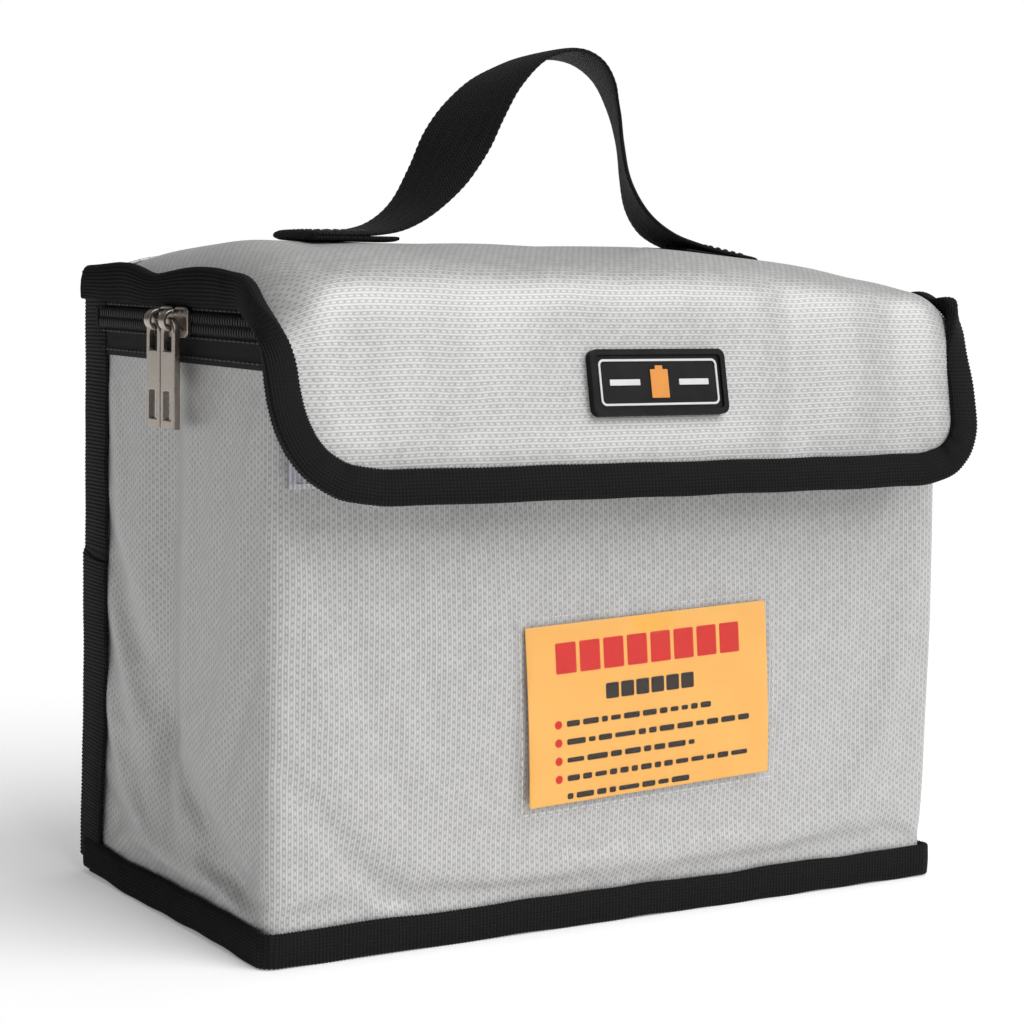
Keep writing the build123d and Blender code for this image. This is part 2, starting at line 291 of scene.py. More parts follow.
class Nodes:
    """A small wrapper for writing one material's node tree."""

    def __init__(self, name):
        self.material = bpy.data.materials.new(name)
        self.material.use_nodes = True
        self.tree = self.material.node_tree
        self.tree.nodes.clear()
        self.shader = self.node("ShaderNodeBsdfPrincipled")
        self.plug(self.node("ShaderNodeOutputMaterial").inputs["Surface"], self.shader.outputs[0])

    def node(self, kind, **settings):
        n = self.tree.nodes.new(kind)
        for key, value in settings.items():
            setattr(n, key, value)
        return n

    def plug(self, socket, value):
        """Feeds a socket from another socket or sets its value."""
        if isinstance(value, Value):
            value = value.socket
        if isinstance(value, bpy.types.NodeSocket):
            self.tree.links.new(value, socket)
        else:
            socket.default_value = value

    def fed(self, node, inputs, values, output=0):
        """A node's output, once the named or numbered inputs have their values."""
        for key, value in zip(inputs, values):
            self.plug(node.inputs[key], value)
        return Value(self, node.outputs[output])

    def math(self, operation, a, b=0.0):
        return self.fed(self.node("ShaderNodeMath", operation=operation), (0, 1), (a, b))

    def wave(self, value, pitch):
        """A sine wave along value, one turn in each pitch."""
        return self.math("SINE", value * (math.tau / pitch))

    def mix(self, factor, a, b):
        return self.fed(self.node("ShaderNodeMix", data_type="RGBA"), (0, 6, 7), (factor, a, b), 2)

    def span(self, *values):
        """Maps a value from one range to another: value, low, high, to low, to high."""
        return self.fed(self.node("ShaderNodeMapRange"), range(5), values)

    def place(self):
        """Object coordinates, in metres."""
        return self.node("ShaderNodeTexCoord").outputs["Object"]

    def noise(self, scale, detail=3.0, rough=0.55, stretch=None):
        """Noise through the object, in cells of about 1 / scale metres."""
        place = self.place()
        if stretch:
            place = self.fed(self.node("ShaderNodeMapping"), ("Vector", "Scale"), (place, stretch))
        names = ("Vector", "Scale", "Detail", "Roughness")
        return self.fed(self.node("ShaderNodeTexNoise"), names, (place, scale, detail, rough))

    def uv_mm(self):
        """The two texture coordinates in millimetres."""
        parts = self.node("ShaderNodeSeparateXYZ")
        self.plug(parts.inputs[0], self.node("ShaderNodeUVMap", uv_map="UVMap").outputs[0])
        return [Value(self, parts.outputs[k]) * 1000.0 for k in (0, 1)]

    def bump(self, height, strength, distance_mm, normal=None):
        n = self.node("ShaderNodeBump")
        if normal is not None:
            self.plug(n.inputs["Normal"], normal)
        return self.fed(n, ("Height", "Strength", "Distance"), (height, strength, distance_mm * MM))

    def shade(self, **values):
        """Sets the shader's inputs and hands over the material."""
        for key, value in values.items():
            self.plug(self.shader.inputs[SHADER_INPUTS[key]], value)
        return self.material


def rgb(r, g, b):
    return (r, g, b, 1.0)


WHITE = rgb(1.0, 1.0, 1.0)


def shaded(color, share):
    """A colour made darker."""
    return rgb(*(c * share for c in color[:3]))


RIB_PITCH = 1.48  # of the silver cloth's pattern, in millimetres
CELL_LENGTH = 1.93


def silver_cloth():
    """Silver coated glass cloth: softly shining, with a fine pattern of ridges and staggered pits; its colour
    has painted highlight on the ridges and painted shade in the pits.
    """
    m = Nodes("silver_cloth")
    u, v = m.uv_mm()
    across = (u + (m.noise(60.0, 2.0) - 0.5) * 0.9) / RIB_PITCH
    rib = m.math("FLOOR", across)
    s = m.math("FRACT", across)
    odd = rib % 2.0
    tilt = (1.0 - odd * 2.0) * ((s - 0.5) * 0.3)
    along = v / CELL_LENGTH + tilt + odd * 0.5
    # A small pit in the middle of each cell's end, and ridges that run between the pits. The pits are dented
    # in the bump, and the colour paints shade into them.
    from_middle = m.math("ABSOLUTE", s - 0.5)
    from_end = 0.5 - m.math("ABSOLUTE", m.math("FRACT", along) - 0.5)
    pit = m.span(from_middle, 0.08, 0.30, 1.0, 0.0) * m.span(from_end, 0.08, 0.30, 1.0, 0.0)
    ridge = m.math("COSINE", s * (4 * math.pi))
    cell = m.fed(m.node("ShaderNodeCombineXYZ"), (0, 1), (rib, m.math("FLOOR", along)))
    white = m.fed(m.node("ShaderNodeTexWhiteNoise", noise_dimensions="2D"), ("Vector",), (cell,))
    tone = m.noise(14.0, 4.0, 0.6)
    # Painted highlight: the colour is lighter on the ridge crests, as if lit; the cell and noise terms add
    # random tone.
    lift = ridge * 0.32 + 0.53 + (white - 0.5) * 0.22 + (tone - 0.5) * 0.16
    lift = m.math("MINIMUM", m.math("MAXIMUM", lift, 0.0), 1.0)
    color = m.mix(lift, rgb(0.365, 0.363, 0.36), rgb(0.665, 0.662, 0.656))
    # Painted shade: the colour goes dark in each pit, as if shade fell there.
    color = m.mix(pit * 0.56, color, rgb(0.18, 0.18, 0.185))
    rough = m.span(white + tone, 0.3, 1.7, 0.44, 0.56)
    normal = m.bump(ridge * 0.16 - pit * 0.8, 0.2, 0.22)
    normal = m.bump(m.noise(38.0), 0.22, 1.3, normal)
    return m.shade(color=color, rough=rough, metal=0.3, normal=normal, sheen=0.04, sheen_rough=0.4)


def lining_cloth():
    """Grey lining: a plain weave drawn in the piece's own texture coordinates."""
    m = Nodes("grey_lining")
    u, v = m.uv_mm()
    height = m.wave(u, 0.9) * m.wave(v, 0.9) * 0.5 + 0.5
    tone = m.noise(90.0, 4.0, 0.65)
    color = m.mix((height + tone) * 0.5, rgb(0.10, 0.10, 0.105), rgb(0.22, 0.22, 0.23))
    normal = m.bump(m.noise(900.0, 2.0), 0.3, 0.1, m.bump(height, 0.7, 0.12))
    return m.shade(color=color, rough=0.8, normal=normal, sheen=0.25, sheen_rough=0.5, spec=0.35)


def felt():
    m = Nodes("white_felt")
    fibres = m.noise(700.0, 5.0, 0.7)
    color = m.mix((fibres + m.noise(60.0)) * 0.5, rgb(0.42, 0.41, 0.38), rgb(0.78, 0.77, 0.73))
    return m.shade(color=color, rough=0.95, normal=m.bump(fibres, 0.8, 0.35), sheen=0.3, spec=0.2)


def ribbed_tape():
    """Black grosgrain: the ribs are in the mesh, so this adds the yarn columns and lint only."""
    m = Nodes("black_tape")
    u, v = m.uv_mm()
    yarn = m.wave(v, 0.9)
    lint = m.noise(1300.0, 3.0, 0.7)
    grid = (yarn + 1.0) * (m.wave(u, RIB) + 1.0)
    lift = (lint + m.noise(120.0)) * 0.3 + grid * 0.12
    color = m.mix(lift, rgb(0.0015, 0.0015, 0.0017), rgb(0.0085, 0.0085, 0.0092))
    normal = m.bump(lint, 0.3, 0.1, m.bump(yarn, 0.6, 0.12))
    return m.shade(color=color, rough=0.72, normal=normal, sheen=0.015, sheen_rough=0.45, spec=0.18)


def webbing():
    """Black webbing in a fine herringbone of columns."""
    m = Nodes("black_webbing")
    u, v = m.uv_mm()
    column_width = 2.1
    column = m.math("PINGPONG", v, column_width)
    twill = m.wave(column * 0.8 + u, 0.95)
    height = (twill * 0.5 + 0.5) * (m.wave(column, 2 * column_width) * 0.4 + 0.6)
    lint = m.noise(1100.0, 3.0, 0.7)
    color = m.mix((lint + height) * 0.5, rgb(0.0016, 0.0016, 0.0018), rgb(0.0078, 0.0078, 0.0084))
    normal = m.bump(lint, 0.35, 0.12, m.bump(height, 0.9, 0.3))
    return m.shade(color=color, rough=0.7, normal=normal, sheen=0.015, spec=0.2)


def zip_tape():
    """Black woven zip tape, with a fine herringbone and matt yarn."""
    m = Nodes("zip_tape")
    u, v = m.uv_mm()
    twill = m.wave(m.math("PINGPONG", v, 1.4) + u, 0.9)
    lint = m.noise(1200.0, 3.0, 0.7)
    color = m.mix((lint + twill * 0.5) * 0.6, rgb(0.002, 0.002, 0.0022), rgb(0.010, 0.010, 0.0108))
    normal = m.bump(lint, 0.3, 0.1, m.bump(twill, 0.7, 0.12))
    return m.shade(color=color, rough=0.78, normal=normal, sheen=0.02, spec=0.2)


def plastic(name, color, rough=0.35, grain=0.04, spec=0.5):
    m = Nodes(name)
    tone = m.noise(160.0, 4.0, 0.6)
    normal = m.bump(m.noise(2200.0, 2.0), 0.25, grain)
    rough_map = m.span(tone, 0.3, 0.7, rough * 0.88, min(rough * 1.15, 1.0))
    return m.shade(color=m.mix(tone, shaded(color, 0.82), color), rough=rough_map, normal=normal, spec=spec)


def pile(name, dark, light):
    """Hook-and-loop pile: a dense fuzz in upright rows."""
    m = Nodes(name)
    height = m.wave(m.uv_mm()[0], 1.3) * 0.3 + m.noise(1500.0, 4.0, 0.75)
    color = m.mix(m.span(height, 0.1, 0.9, 0.0, 1.0), dark, light)
    normal = m.bump(height, 0.9, 0.35)
    return m.shade(color=color, rough=0.9, normal=normal, sheen=0.5, sheen_rough=0.4, spec=0.2)


def clear_vinyl():
    """Clear soft vinyl: nearly all light passes, and a little of the room is mirrored in its faint waves."""
    m = Nodes("clear_vinyl")
    normal = m.bump(m.noise(55.0, 2.0), 0.3, 1.5)
    return m.shade(color=rgb(0.97, 0.975, 0.985), rough=0.07, metal=0.9, alpha=0.022, normal=normal)


def brushed_metal(name, color, rough):
    """Plated zinc with fine brush marks along the tab and a few scuffs."""
    m = Nodes(name)
    streaks = m.noise(900.0, 3.0, 0.7, stretch=(1.0, 9.0, 0.35))
    scuff = m.span(m.noise(420.0, 6.0, 0.75), 0.56, 0.7, 0.0, 1.0)
    tone = m.noise(220.0, 4.0, 0.6)
    shade = m.mix((streaks + tone) * 0.5, shaded(color, 0.72), color)
    shade = m.mix(scuff * 0.35, shade, rgb(0.66, 0.62, 0.58))
    rough_map = m.span(streaks + scuff, 0.2, 1.4, rough * 0.8, rough * 1.45)
    return m.shade(color=shade, rough=rough_map, metal=1.0, normal=m.bump(streaks, 0.18, 0.06))


def thread_material(name, dark, light):
    m = Nodes(name)
    ply = m.bump(m.wave(m.uv_mm()[0], 0.6), 0.6, 0.08)
    return m.shade(color=m.mix(m.noise(1800.0), dark, light), rough=0.6, normal=ply, sheen=0.2)


def printed_card():
    m = Nodes("card_yellow")
    color = m.mix(m.noise(70.0), rgb(0.86, 0.40, 0.060), rgb(0.97, 0.50, 0.095))
    return m.shade(color=color, rough=0.42, normal=m.bump(m.noise(1600.0, 2.0), 0.1, 0.05))


MATERIALS = {
    "silver_cloth": silver_cloth(),
    "grey_lining": lining_cloth(),
    "white_felt": felt(),
    "black_tape": ribbed_tape(),
    "black_webbing": webbing(),
    "zip_tape": zip_tape(),
    "zip_coil": plastic("zip_coil", rgb(0.009, 0.009, 0.0095), rough=0.36, spec=0.4),
    "loop_strip": pile("loop_strip", rgb(0.40, 0.39, 0.44), rgb(0.78, 0.765, 0.83)),
    "clear_vinyl": clear_vinyl(),
    "card_yellow": printed_card(),
    "print_red": plastic("print_red", rgb(0.72, 0.016, 0.008), rough=0.6, spec=0.1),
    "print_dark": plastic("print_dark", rgb(0.022, 0.010, 0.006), rough=0.6, spec=0.1),
    "badge_rubber": plastic("badge_rubber", rgb(0.0045, 0.0045, 0.005), rough=0.58, grain=0.08, spec=0.22),
    "badge_white": plastic("badge_white", rgb(0.74, 0.74, 0.73), rough=0.45),
    "badge_amber": plastic("badge_amber", rgb(0.80, 0.30, 0.04), rough=0.45),
    "gunmetal": brushed_metal("gunmetal", rgb(0.43, 0.375, 0.33), 0.3),
}
THREADS = {
    "black": thread_material("black_thread", rgb(0.007, 0.007, 0.0075), rgb(0.028, 0.028, 0.030)),
    "white": thread_material("white_thread", rgb(0.55, 0.55, 0.53), rgb(0.85, 0.85, 0.83)),
}


def dress(obj, slot):
    """Gives a piece the material that its slot names."""
    obj.data.materials.clear()
    obj.data.materials.append(MATERIALS[slot])
    return obj


# ---------------------------------------------------------------- body cloth


def u_path(offset, back_y):
    """The line round left, front and right, offset outwards from the cloth face, from back to back."""
    half_w = HALF_W + offset
    front = FRONT_Y - offset
    r = max(CORNER_R + offset, 1.0)
    turn = np.linspace(0, math.pi / 2, 9)
    left_arc = np.stack([-half_w + r - r * np.cos(turn), front + r - r * np.sin(turn)], -1)
    right_arc = left_arc[::-1] * (-1, 1)
    return np.concatenate([[(-half_w, back_y)], left_arc, right_arc, [(half_w, back_y)]])


def path_frames(path, distances):
    """Points and outward normals along a plan line that has the bag on its left hand side."""
    return resample(path, distances), plan_normals(tangents(path, distances, 0.6))


WRAP_BACK_Y = BACK_Y - CLOTH  # where the wrapped cloth ends at the back
WRAP = u_path(0.0, WRAP_BACK_Y)  # the line of the cloth round left, front and right
WRAP_TOTAL = arc_lengths(WRAP)[-1]
LEFT_END = WRAP_BACK_Y - (FRONT_Y + CORNER_R)  # length of the left wall along the wrap
ARC = CORNER_R * math.pi / 2


def body_relief(points, s, z):
    """How far the padded wall stands out from the CAD face, in millimetres."""
    x, y = points[..., 0], points[..., 1]
    height = np.clip((z - TAPE_W) / (WALL_TOP - 4 - TAPE_W), 0, 1)
    belly = np.sin(math.pi * height) ** 0.7
    front = smoothstep((FRONT_Y + 9 - y) / 6) * np.clip(1 - (np.abs(x) / HALF_W) ** 4, 0, 1)
    # The panel lies flat again where the loop strip is sewn to it, behind the flap.
    relief = front * height * (1 - height) ** 0.9 / 0.269 * 3.9 * (1 - smoothstep((z - 100) / 18))
    # The front corners swell a little, the right one more.
    corner = np.exp(-0.5 * ((np.abs(x) - HALF_W) ** 2 + (y - FRONT_Y) ** 2) / 11.0**2)
    relief += corner * belly * np.where(x > 0, 1.2, 0.4)
    # The left and right walls sag in between their corners, and crease where they fold.
    side = smoothstep((np.abs(x) - HALF_W + 7) / 5) * smoothstep((y - FRONT_Y - 4) / 14)
    middle = 3.0
    relief += side * (1.6 * bump(y, -32, 17) + 1.2 * bump(y, 34, 13)) * belly
    left_folds = [
        (3.6, (middle, 176), (middle + 3, 52), 6.5),
        (2.6, (middle + 4, 54), (-52, 10), 5.0),
        (2.2, (middle + 2, 56), (44, 96), 5.0),
        (1.4, (middle + 4, 52), (46, 14), 5.0),
    ]
    right_folds = [
        (2.8, (middle, 176), (middle - 2, 48), 6.5),
        (2.0, (middle - 2, 50), (-50, 12), 5.0),
        (1.6, (middle - 2, 50), (48, 20), 5.0),
    ]
    for wall, folds in ((side * (x < 0), left_folds), (side * (x > 0), right_folds)):
        depths = [depth * crease(y, z, start, end, width) for depth, start, end, width in folds]
        relief -= wall * np.sqrt(sum(depth**2 for depth in depths))
    # Small creases at the lower corners of the front, where the base pulls the cloth in.
    relief -= 1.5 * front * crease(x, z, (-100, 46), (-70, 12), 3.0)
    relief -= 1.1 * front * crease(x, z, (84, 40), (100, 22), 2.4)
    relief -= 0.9 * front * crease(x, z, (90, 30), (103, 30), 1.8, 6.0)
    relief -= 0.8 * front * crease(x, z, (60, 60), (100, 84), 5.0)
    relief += 0.35 * soft_noise(s, z * 0.8, 46, 3) * belly
    fade = smoothstep((z - TAPE_W + 2) / 12) * smoothstep((WALL_TOP - 3 - z) / 10)
    return relief * fade * smoothstep((BACK_Y - 11 - y) / 14) - 0.15


SETTLE_FRAMES = 14


def settle(obj, pinned):
    """Lets a surface settle as slightly swollen cloth, pinned where pinned is 1, and applies the result."""
    group = obj.vertex_groups.new(name="pin")
    for i, weight in enumerate(pinned):
        group.add([i], float(weight), "REPLACE")
    mod = obj.modifiers.new("Cloth", "CLOTH")
    settings = mod.settings
    settings.quality = 6
    settings.mass = 0.25
    settings.air_damping = 4.0
    settings.tension_stiffness = 30
    settings.compression_stiffness = 30
    settings.shear_stiffness = 12
    settings.bending_stiffness = 3.0
    settings.vertex_group_mass = "pin"
    settings.pin_stiffness = 0.6
    settings.shrink_min = -0.004
    settings.use_pressure = True
    settings.uniform_pressure_force = 1.2
    settings.effector_weights.gravity = 0.25
    mod.collision_settings.use_collision = False
    mod.point_cache.frame_start = 1
    mod.point_cache.frame_end = SETTLE_FRAMES
    scene = bpy.context.scene
    for frame_number in range(1, SETTLE_FRAMES + 1):
        scene.frame_set(frame_number)
    apply_modifiers(obj)
    obj.vertex_groups.clear()
    scene.frame_set(1)


def make_body_cloth():
    """The one length of cloth that wraps left, front and right."""
    total = WRAP_TOTAL
    step = 2.4
    s = np.linspace(0, total, int(total / step) + 1)
    z = np.linspace(CLOTH, WALL_TOP, int(WALL_TOP / step) + 1)
    points, normals = path_frames(WRAP, s)
    ss, zz = np.meshgrid(s, z, indexing="ij")
    flat = np.repeat(points[:, None, :], len(z), 1)
    relief = body_relief(flat, ss, zz)
    spots = np.concatenate([flat + relief[..., None] * normals[:, None, :], zz[..., None]], -1)
    cloth = grid_object("cloth_body", spots, np.stack([ss, zz], -1))
    edge = np.minimum(np.minimum(zz - CLOTH, WALL_TOP - zz), np.minimum(ss, total - ss))
    corner = np.minimum(np.abs(ss - 115), np.abs(total - ss - 115))
    pin = np.maximum(1 - smoothstep(edge / 16), 0.5 * (1 - smoothstep(corner / 10)))
    behind_flap = smoothstep((zz - 110) / 8) * smoothstep((np.minimum(ss, total - ss) - 118) / 6)
    pin = np.maximum(pin, 0.95 * behind_flap)
    settle(cloth, np.maximum(pin, 0.12).ravel())
    subdivide(cloth)
    surface = BVHTree.FromObject(cloth, bpy.context.evaluated_depsgraph_get())
    solidify(cloth, CLOTH)
    dress(cloth, "silver_cloth")
    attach(cloth, "shell")
    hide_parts("outer_wrap")
    return surface


body_surface = make_body_cloth()


def front_y(x, z):
    """Where the body cloth's front face is, in millimetres."""
    hit = body_surface.ray_cast(Vector((x * MM, -0.2, z * MM)), Vector((0, 1, 0)))
    return hit[0].y / MM if hit[0] else FRONT_Y


# ---------------------------------------------------------------- lid and flap cloth


def flap_point(y, z):
    """A point of the closed flap, turned out to where the flap rests."""
    a, b = y - FLAP_HINGE[0], z - FLAP_HINGE[1]
    c, s = math.cos(FLAP_REST), math.sin(FLAP_REST)
    return FLAP_HINGE[0] + a * c + b * s, FLAP_HINGE[1] - a * s + b * c


FLAP_OUT = np.array([0.0, -math.cos(FLAP_REST), math.sin(FLAP_REST)])
LID_LINE = [(BACK_Y + 0.4, 169.5), (BACK_Y - 0.2, 172.6), (50, 176.2), (38, 179.4), (20, 181.6), (0, 182.3)]
LID_LINE += [(-20, 181.9), (-38, 180.6), (-52, 178.2), (-62.0, 174.0)]
LID_LINE += [flap_point(FLAP_FACE_Y, 163.0), flap_point(FLAP_FACE_Y, FLAP_BOTTOM_Z + 0.6)]
lid_line = smooth_polyline(LID_LINE, 5.2)
LID_TOTAL = arc_lengths(lid_line)[-1]
FOLD_S = LID_TOTAL - (RIM_Z - FLAP_BOTTOM_Z)  # where the lid turns into the flap
CROWN_Z = lid_line[:, 1].max()

# The outer edge of the flap's tape, from the lid's left side round the foot to its right side.
FLAP_EDGE = [(-109.2, -46.0, 165.4), (-111.4, -58.0, 160.2), (-113.0, -65.8, 152.6), (-113.3, -69.6, 143.5)]
FLAP_EDGE += [(-112.6, -72.0, 136.5), (-110.3, -73.5, 130.5), (-105.8, -74.7, 124.8), (-97.0, -75.8, 119.7)]
FLAP_EDGE += [(-84.0, -76.1, 117.5), (88.0, -76.1, 117.1), (99.0, -75.7, 119.9), (105.4, -74.6, 125.2)]
FLAP_EDGE += [(108.6, -73.1, 132.1), (109.0, -69.8, 146.0), (108.8, -64.4, 159.8), (108.4, -57.0, 166.6)]
FLAP_EDGE += [(108.5, -46.0, 168.4)]
FLAP_SIDES = {-1: (113.2, 27.0), 1: (108.9, 20.0)}  # half width and corner radius of each side


def lid_normals(s):
    """Outward normals of the lid's line, in y and z."""
    return plan_normals(tangents(lid_line, s, 1.0, (0.0, LID_TOTAL)))


def half_width(s, side):
    """Half the cloth's width along the line from the lid's back edge to the flap's foot, on one side."""
    down = s - FOLD_S
    widest, r = FLAP_SIDES[side]
    half = HALF_W + (widest - 1.2 - HALF_W) * smoothstep((down + 2) / 30)
    foot = LID_TOTAL - s
    r -= 0.8
    inside = np.clip(r - foot, 0, r)
    return half - (r - np.sqrt(np.maximum(r * r - inside * inside, 0)))


def lid_fall(x, edge):
    """How far the lid has sunk towards its rim near its sides: steep on the left, gradual on the right."""
    return np.clip(1 - edge / np.where(x < 0, 31.0, 80.0), 0, 1) ** np.where(x < 0, 3.0, 1.55)


def crest_fall(x):
    """The same along the lid's crest, in millimetres."""
    x = np.asarray(x, float)
    return lid_fall(x, HALF_W - np.abs(x)) * (CROWN_Z - RIM_Z)


def edge_line():
    """Where the cloth's side edges run, in y and z: down to the rim, then round the flap's shoulder."""
    s = np.linspace(0, LID_TOTAL, 500)
    centre = resample(lid_line, s)
    normal = lid_normals(s)
    on_lid = np.stack([centre[:, 0], np.minimum(centre[:, 1], RIM_Z)], -1)
    on_flap = centre - 1.3 * normal
    keys = [FOLD_S - 20, FOLD_S - 8, FOLD_S + 4, FOLD_S + 15]
    corner = [(-44.0, 170.6), (-53.0, 168.2), (-60.6, 162.4), (-66.2, 154.6)]
    shoulder = look_up(s, keys, np.array(corner))
    into = smoothstep((s - FOLD_S + 24) / 6)[:, None]
    out_of = smoothstep((s - FOLD_S - 13) / 9)[:, None]
    edge = (on_lid * (1 - into) + shoulder * into) * (1 - out_of) + on_flap * out_of
    kernel = bump(np.arange(-12, 13), 0, 5.0)
    kernel /= kernel.sum()
    padded = np.concatenate([2 * edge[:1] - edge[12:0:-1], edge, 2 * edge[-1:] - edge[-2:-14:-1]])
    return s, np.stack([np.convolve(padded[:, k], kernel, "valid") for k in (0, 1)], -1)


EDGE_S, EDGE_YZ = edge_line()


def lid_surface(s, share, swell=1.0):
    """Points of the lid and flap: s along the line, share from -1 at the left edge to 1 at the right.

    swell is how much of the flap's swelling and dents they have."""
    centre = resample(lid_line, s)
    normal = np.pad(lid_normals(s), ((0, 0), (1, 0)))
    half = np.where(share[None, :] < 0, half_width(s, -1)[:, None], half_width(s, 1)[:, None])
    x = half * share[None, :]
    on_flap = smoothstep((s - FOLD_S + 16) / 24)[:, None]
    edge = half - np.abs(x)
    side = look_up(s, EDGE_S, EDGE_YZ) - centre
    side_fall = np.clip(1 - edge / 17.0, 0, 1) ** 2
    fall = lid_fall(x, edge) * (1 - on_flap) + side_fall * on_flap
    foot_fall = np.clip(1 - (LID_TOTAL - s) / 14.0, 0, 1)[:, None] ** 2 * (1 - side_fall)
    points = np.zeros(x.shape + (3,))
    points[..., 0] = x
    points[..., 1] = centre[:, None, 0] + fall * side[:, None, 0]
    points[..., 2] = centre[:, None, 1] + fall * side[:, None, 1]
    points += (-1.3 * foot_fall)[..., None] * normal[:, None, :]
    ss = np.repeat(s[:, None], x.shape[1], 1)
    # The cloth is drawn flat where the badge is sewn on.
    beside, above = smoothstep((np.abs(x) - 17) / 40), smoothstep((np.abs(ss - FOLD_S - 26) - 8) / 24)
    flat_spot = beside + above - beside * above
    relief = swell * flap_relief(x, ss - FOLD_S) * on_flap * flat_spot
    relief += lid_relief(x, ss) * (1 - on_flap)
    points += relief[..., None] * normal[:, None, :]
    return points, x, ss


def flap_relief(x, down):
    """The hanging flap's swell between its tape, and the soft dents that run down it."""
    edge = smoothstep((109.0 - np.abs(x)) / 18) * smoothstep((54 - down) / 14)
    relief = 1.5 + 0.8 * bump(down, 26, 16) * (1 - 0.5 * bump(x, 0, 40))
    relief -= 2.6 * crease(x, down, (47, 4), (42, 46), 6.5)
    relief -= 2.1 * crease(x, down, (84, 0), (79, 42), 7.5)
    relief -= 1.5 * crease(x, down, (-54, 4), (-60, 36), 8.0)
    relief -= 1.1 * crease(x, down, (-92, 8), (-86, 44), 5.0)
    relief += 0.4 * soft_noise(x, down, 38, 11)
    return np.maximum(relief, -0.7) * edge


def lid_relief(x, s):
    """The lid's padding: a little fuller in front of the handle, and a dent under it."""
    relief = 0.8 * bump(s, FOLD_S - 22, 12) * (1 - 0.5 * bump(x, -20, 30))
    relief -= 1.0 * crease(x, s, (-96, FOLD_S - 4), (-78, FOLD_S - 40), 7.0)
    relief -= 0.8 * crease(x, s, (92, FOLD_S - 2), (84, FOLD_S - 34), 9.0)
    relief += 0.4 * soft_noise(x, s, 44, 21)
    return relief * smoothstep((HALF_W - np.abs(x)) / 16) * smoothstep(s / 10)


def make_lid_cloth():
    """One length of cloth over the lid, round the fold and down the flap."""
    foot = 22.0  # the rows grow closer over this length at the flap's foot
    crowded = LID_TOTAL - foot * np.cos(np.linspace(0, math.pi / 2, 24))
    s = np.concatenate([np.linspace(0, LID_TOTAL - foot, 86), crowded[1:]])
    share = np.sin(np.linspace(-math.pi / 2, math.pi / 2, 131) * 0.93) / math.sin(math.pi / 2 * 0.93)
    points, x, ss = lid_surface(s, share)
    cloth = grid_object("cloth_lid_flap", points, np.stack([ss, x], -1))
    subdivide(cloth)
    solidify(cloth, CLOTH)
    dress(cloth, "silver_cloth")
    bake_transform(cloth)
    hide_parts("lid_panel", "flap_panel")
    return cloth


lid_cloth = make_lid_cloth()


LID_INNER = [(BACK_Y - 1.2, RIM_Z + 0.3), (BACK_Y - 3.6, 172.2), (48, 173.5), (36, 175.8), (20, 177.6)]
LID_INNER += [(0, 178.3), (-20, 177.9), (-38, 176.3), (-50, 174.0), (-55.4, 172.0)]
LID_INNER += [(FRONT_Y + 0.6, RIM_Z + 0.2)]
lid_inner_line = smooth_polyline(LID_INNER, 2.4)


def lid_inside(inset):
    """The lid's inner face, drawn in by inset at the crown and meeting the cloth at the rim."""
    count, across = 48, 90
    total = arc_lengths(lid_inner_line)[-1]
    s = np.linspace(0, total, count)
    centre = resample(lid_inner_line, s)
    share = np.sin(np.linspace(-math.pi / 2, math.pi / 2, across))
    half = HALF_W - 0.9
    x = half * share[None, :] * np.ones((count, 1))
    edge = half - np.abs(x)
    order = np.argsort(lid_line[:, 0])
    depth = np.maximum(np.interp(centre[:, 0], lid_line[order, 0], lid_line[order, 1]) - RIM_Z, 0)[:, None]
    points = np.zeros((count, across, 3))
    points[..., 0] = x
    points[..., 1] = centre[:, None, 0]
    low = np.minimum(centre[:, None, 1], RIM_Z + 0.25)
    points[..., 2] = np.maximum(centre[:, None, 1] - lid_fall(x, edge) * depth, low)
    # It follows the cloth down at the two front corners.
    points[..., 2] -= 8.0 * smoothstep((np.abs(x) - 80) / 24) * smoothstep((-38 - points[..., 1]) / 15)
    away = smoothstep(edge / 12) * smoothstep(np.minimum(s, total - s) / 12)[:, None]
    points[..., 2] += away * (inset + 0.2 * soft_noise(x, np.repeat(s[:, None], across, 1), 30, 5))
    return points, np.stack([np.repeat(s[:, None], across, 1), x], -1)


def make_lid_layers():
    points, uvs = lid_inside(0.0)
    lining = grid_object("lining_lid", points, uvs)
    solidify(lining, 0.5)
    dress(lining, "grey_lining")
    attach(lining, "lid")
    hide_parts("lid_lining")
    points, uvs = lid_inside(0.5)
    # The padding stops short where the lid runs down thin to its right edge.
    last = int((points[0, :, 0] < 78).sum())
    padding = grid_object("padding_lid", points[5:-6, 8:last], uvs[5:-6, 8:last])
    solidify(padding, 1.3, 1.0)
    dress(padding, "white_felt")
    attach(padding, "lid")
    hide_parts("lid_felt")


make_lid_layers()

FLAP_INSIDE = 1.6  # from the flap's outer cloth in to its lining


def make_flap_lining():
    """The grey lining behind the flap, from the fold to its foot."""
    s = np.linspace(FOLD_S + 1, LID_TOTAL - 1.0, 48)
    share = np.sin(np.linspace(-math.pi / 2, math.pi / 2, 91))
    points, x, ss = lid_surface(s, share * 0.965, 0.0)
    points[..., 1:] -= FLAP_INSIDE * lid_normals(s)[:, None, :]
    lining = grid_object("lining_flap", points, np.stack([ss, x], -1))
    solidify(lining, 0.3)
    dress(lining, "grey_lining")
    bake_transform(lining)
    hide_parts("flap_lining")


make_flap_lining()

# ---------------------------------------------------------------- padding, linings, back and base


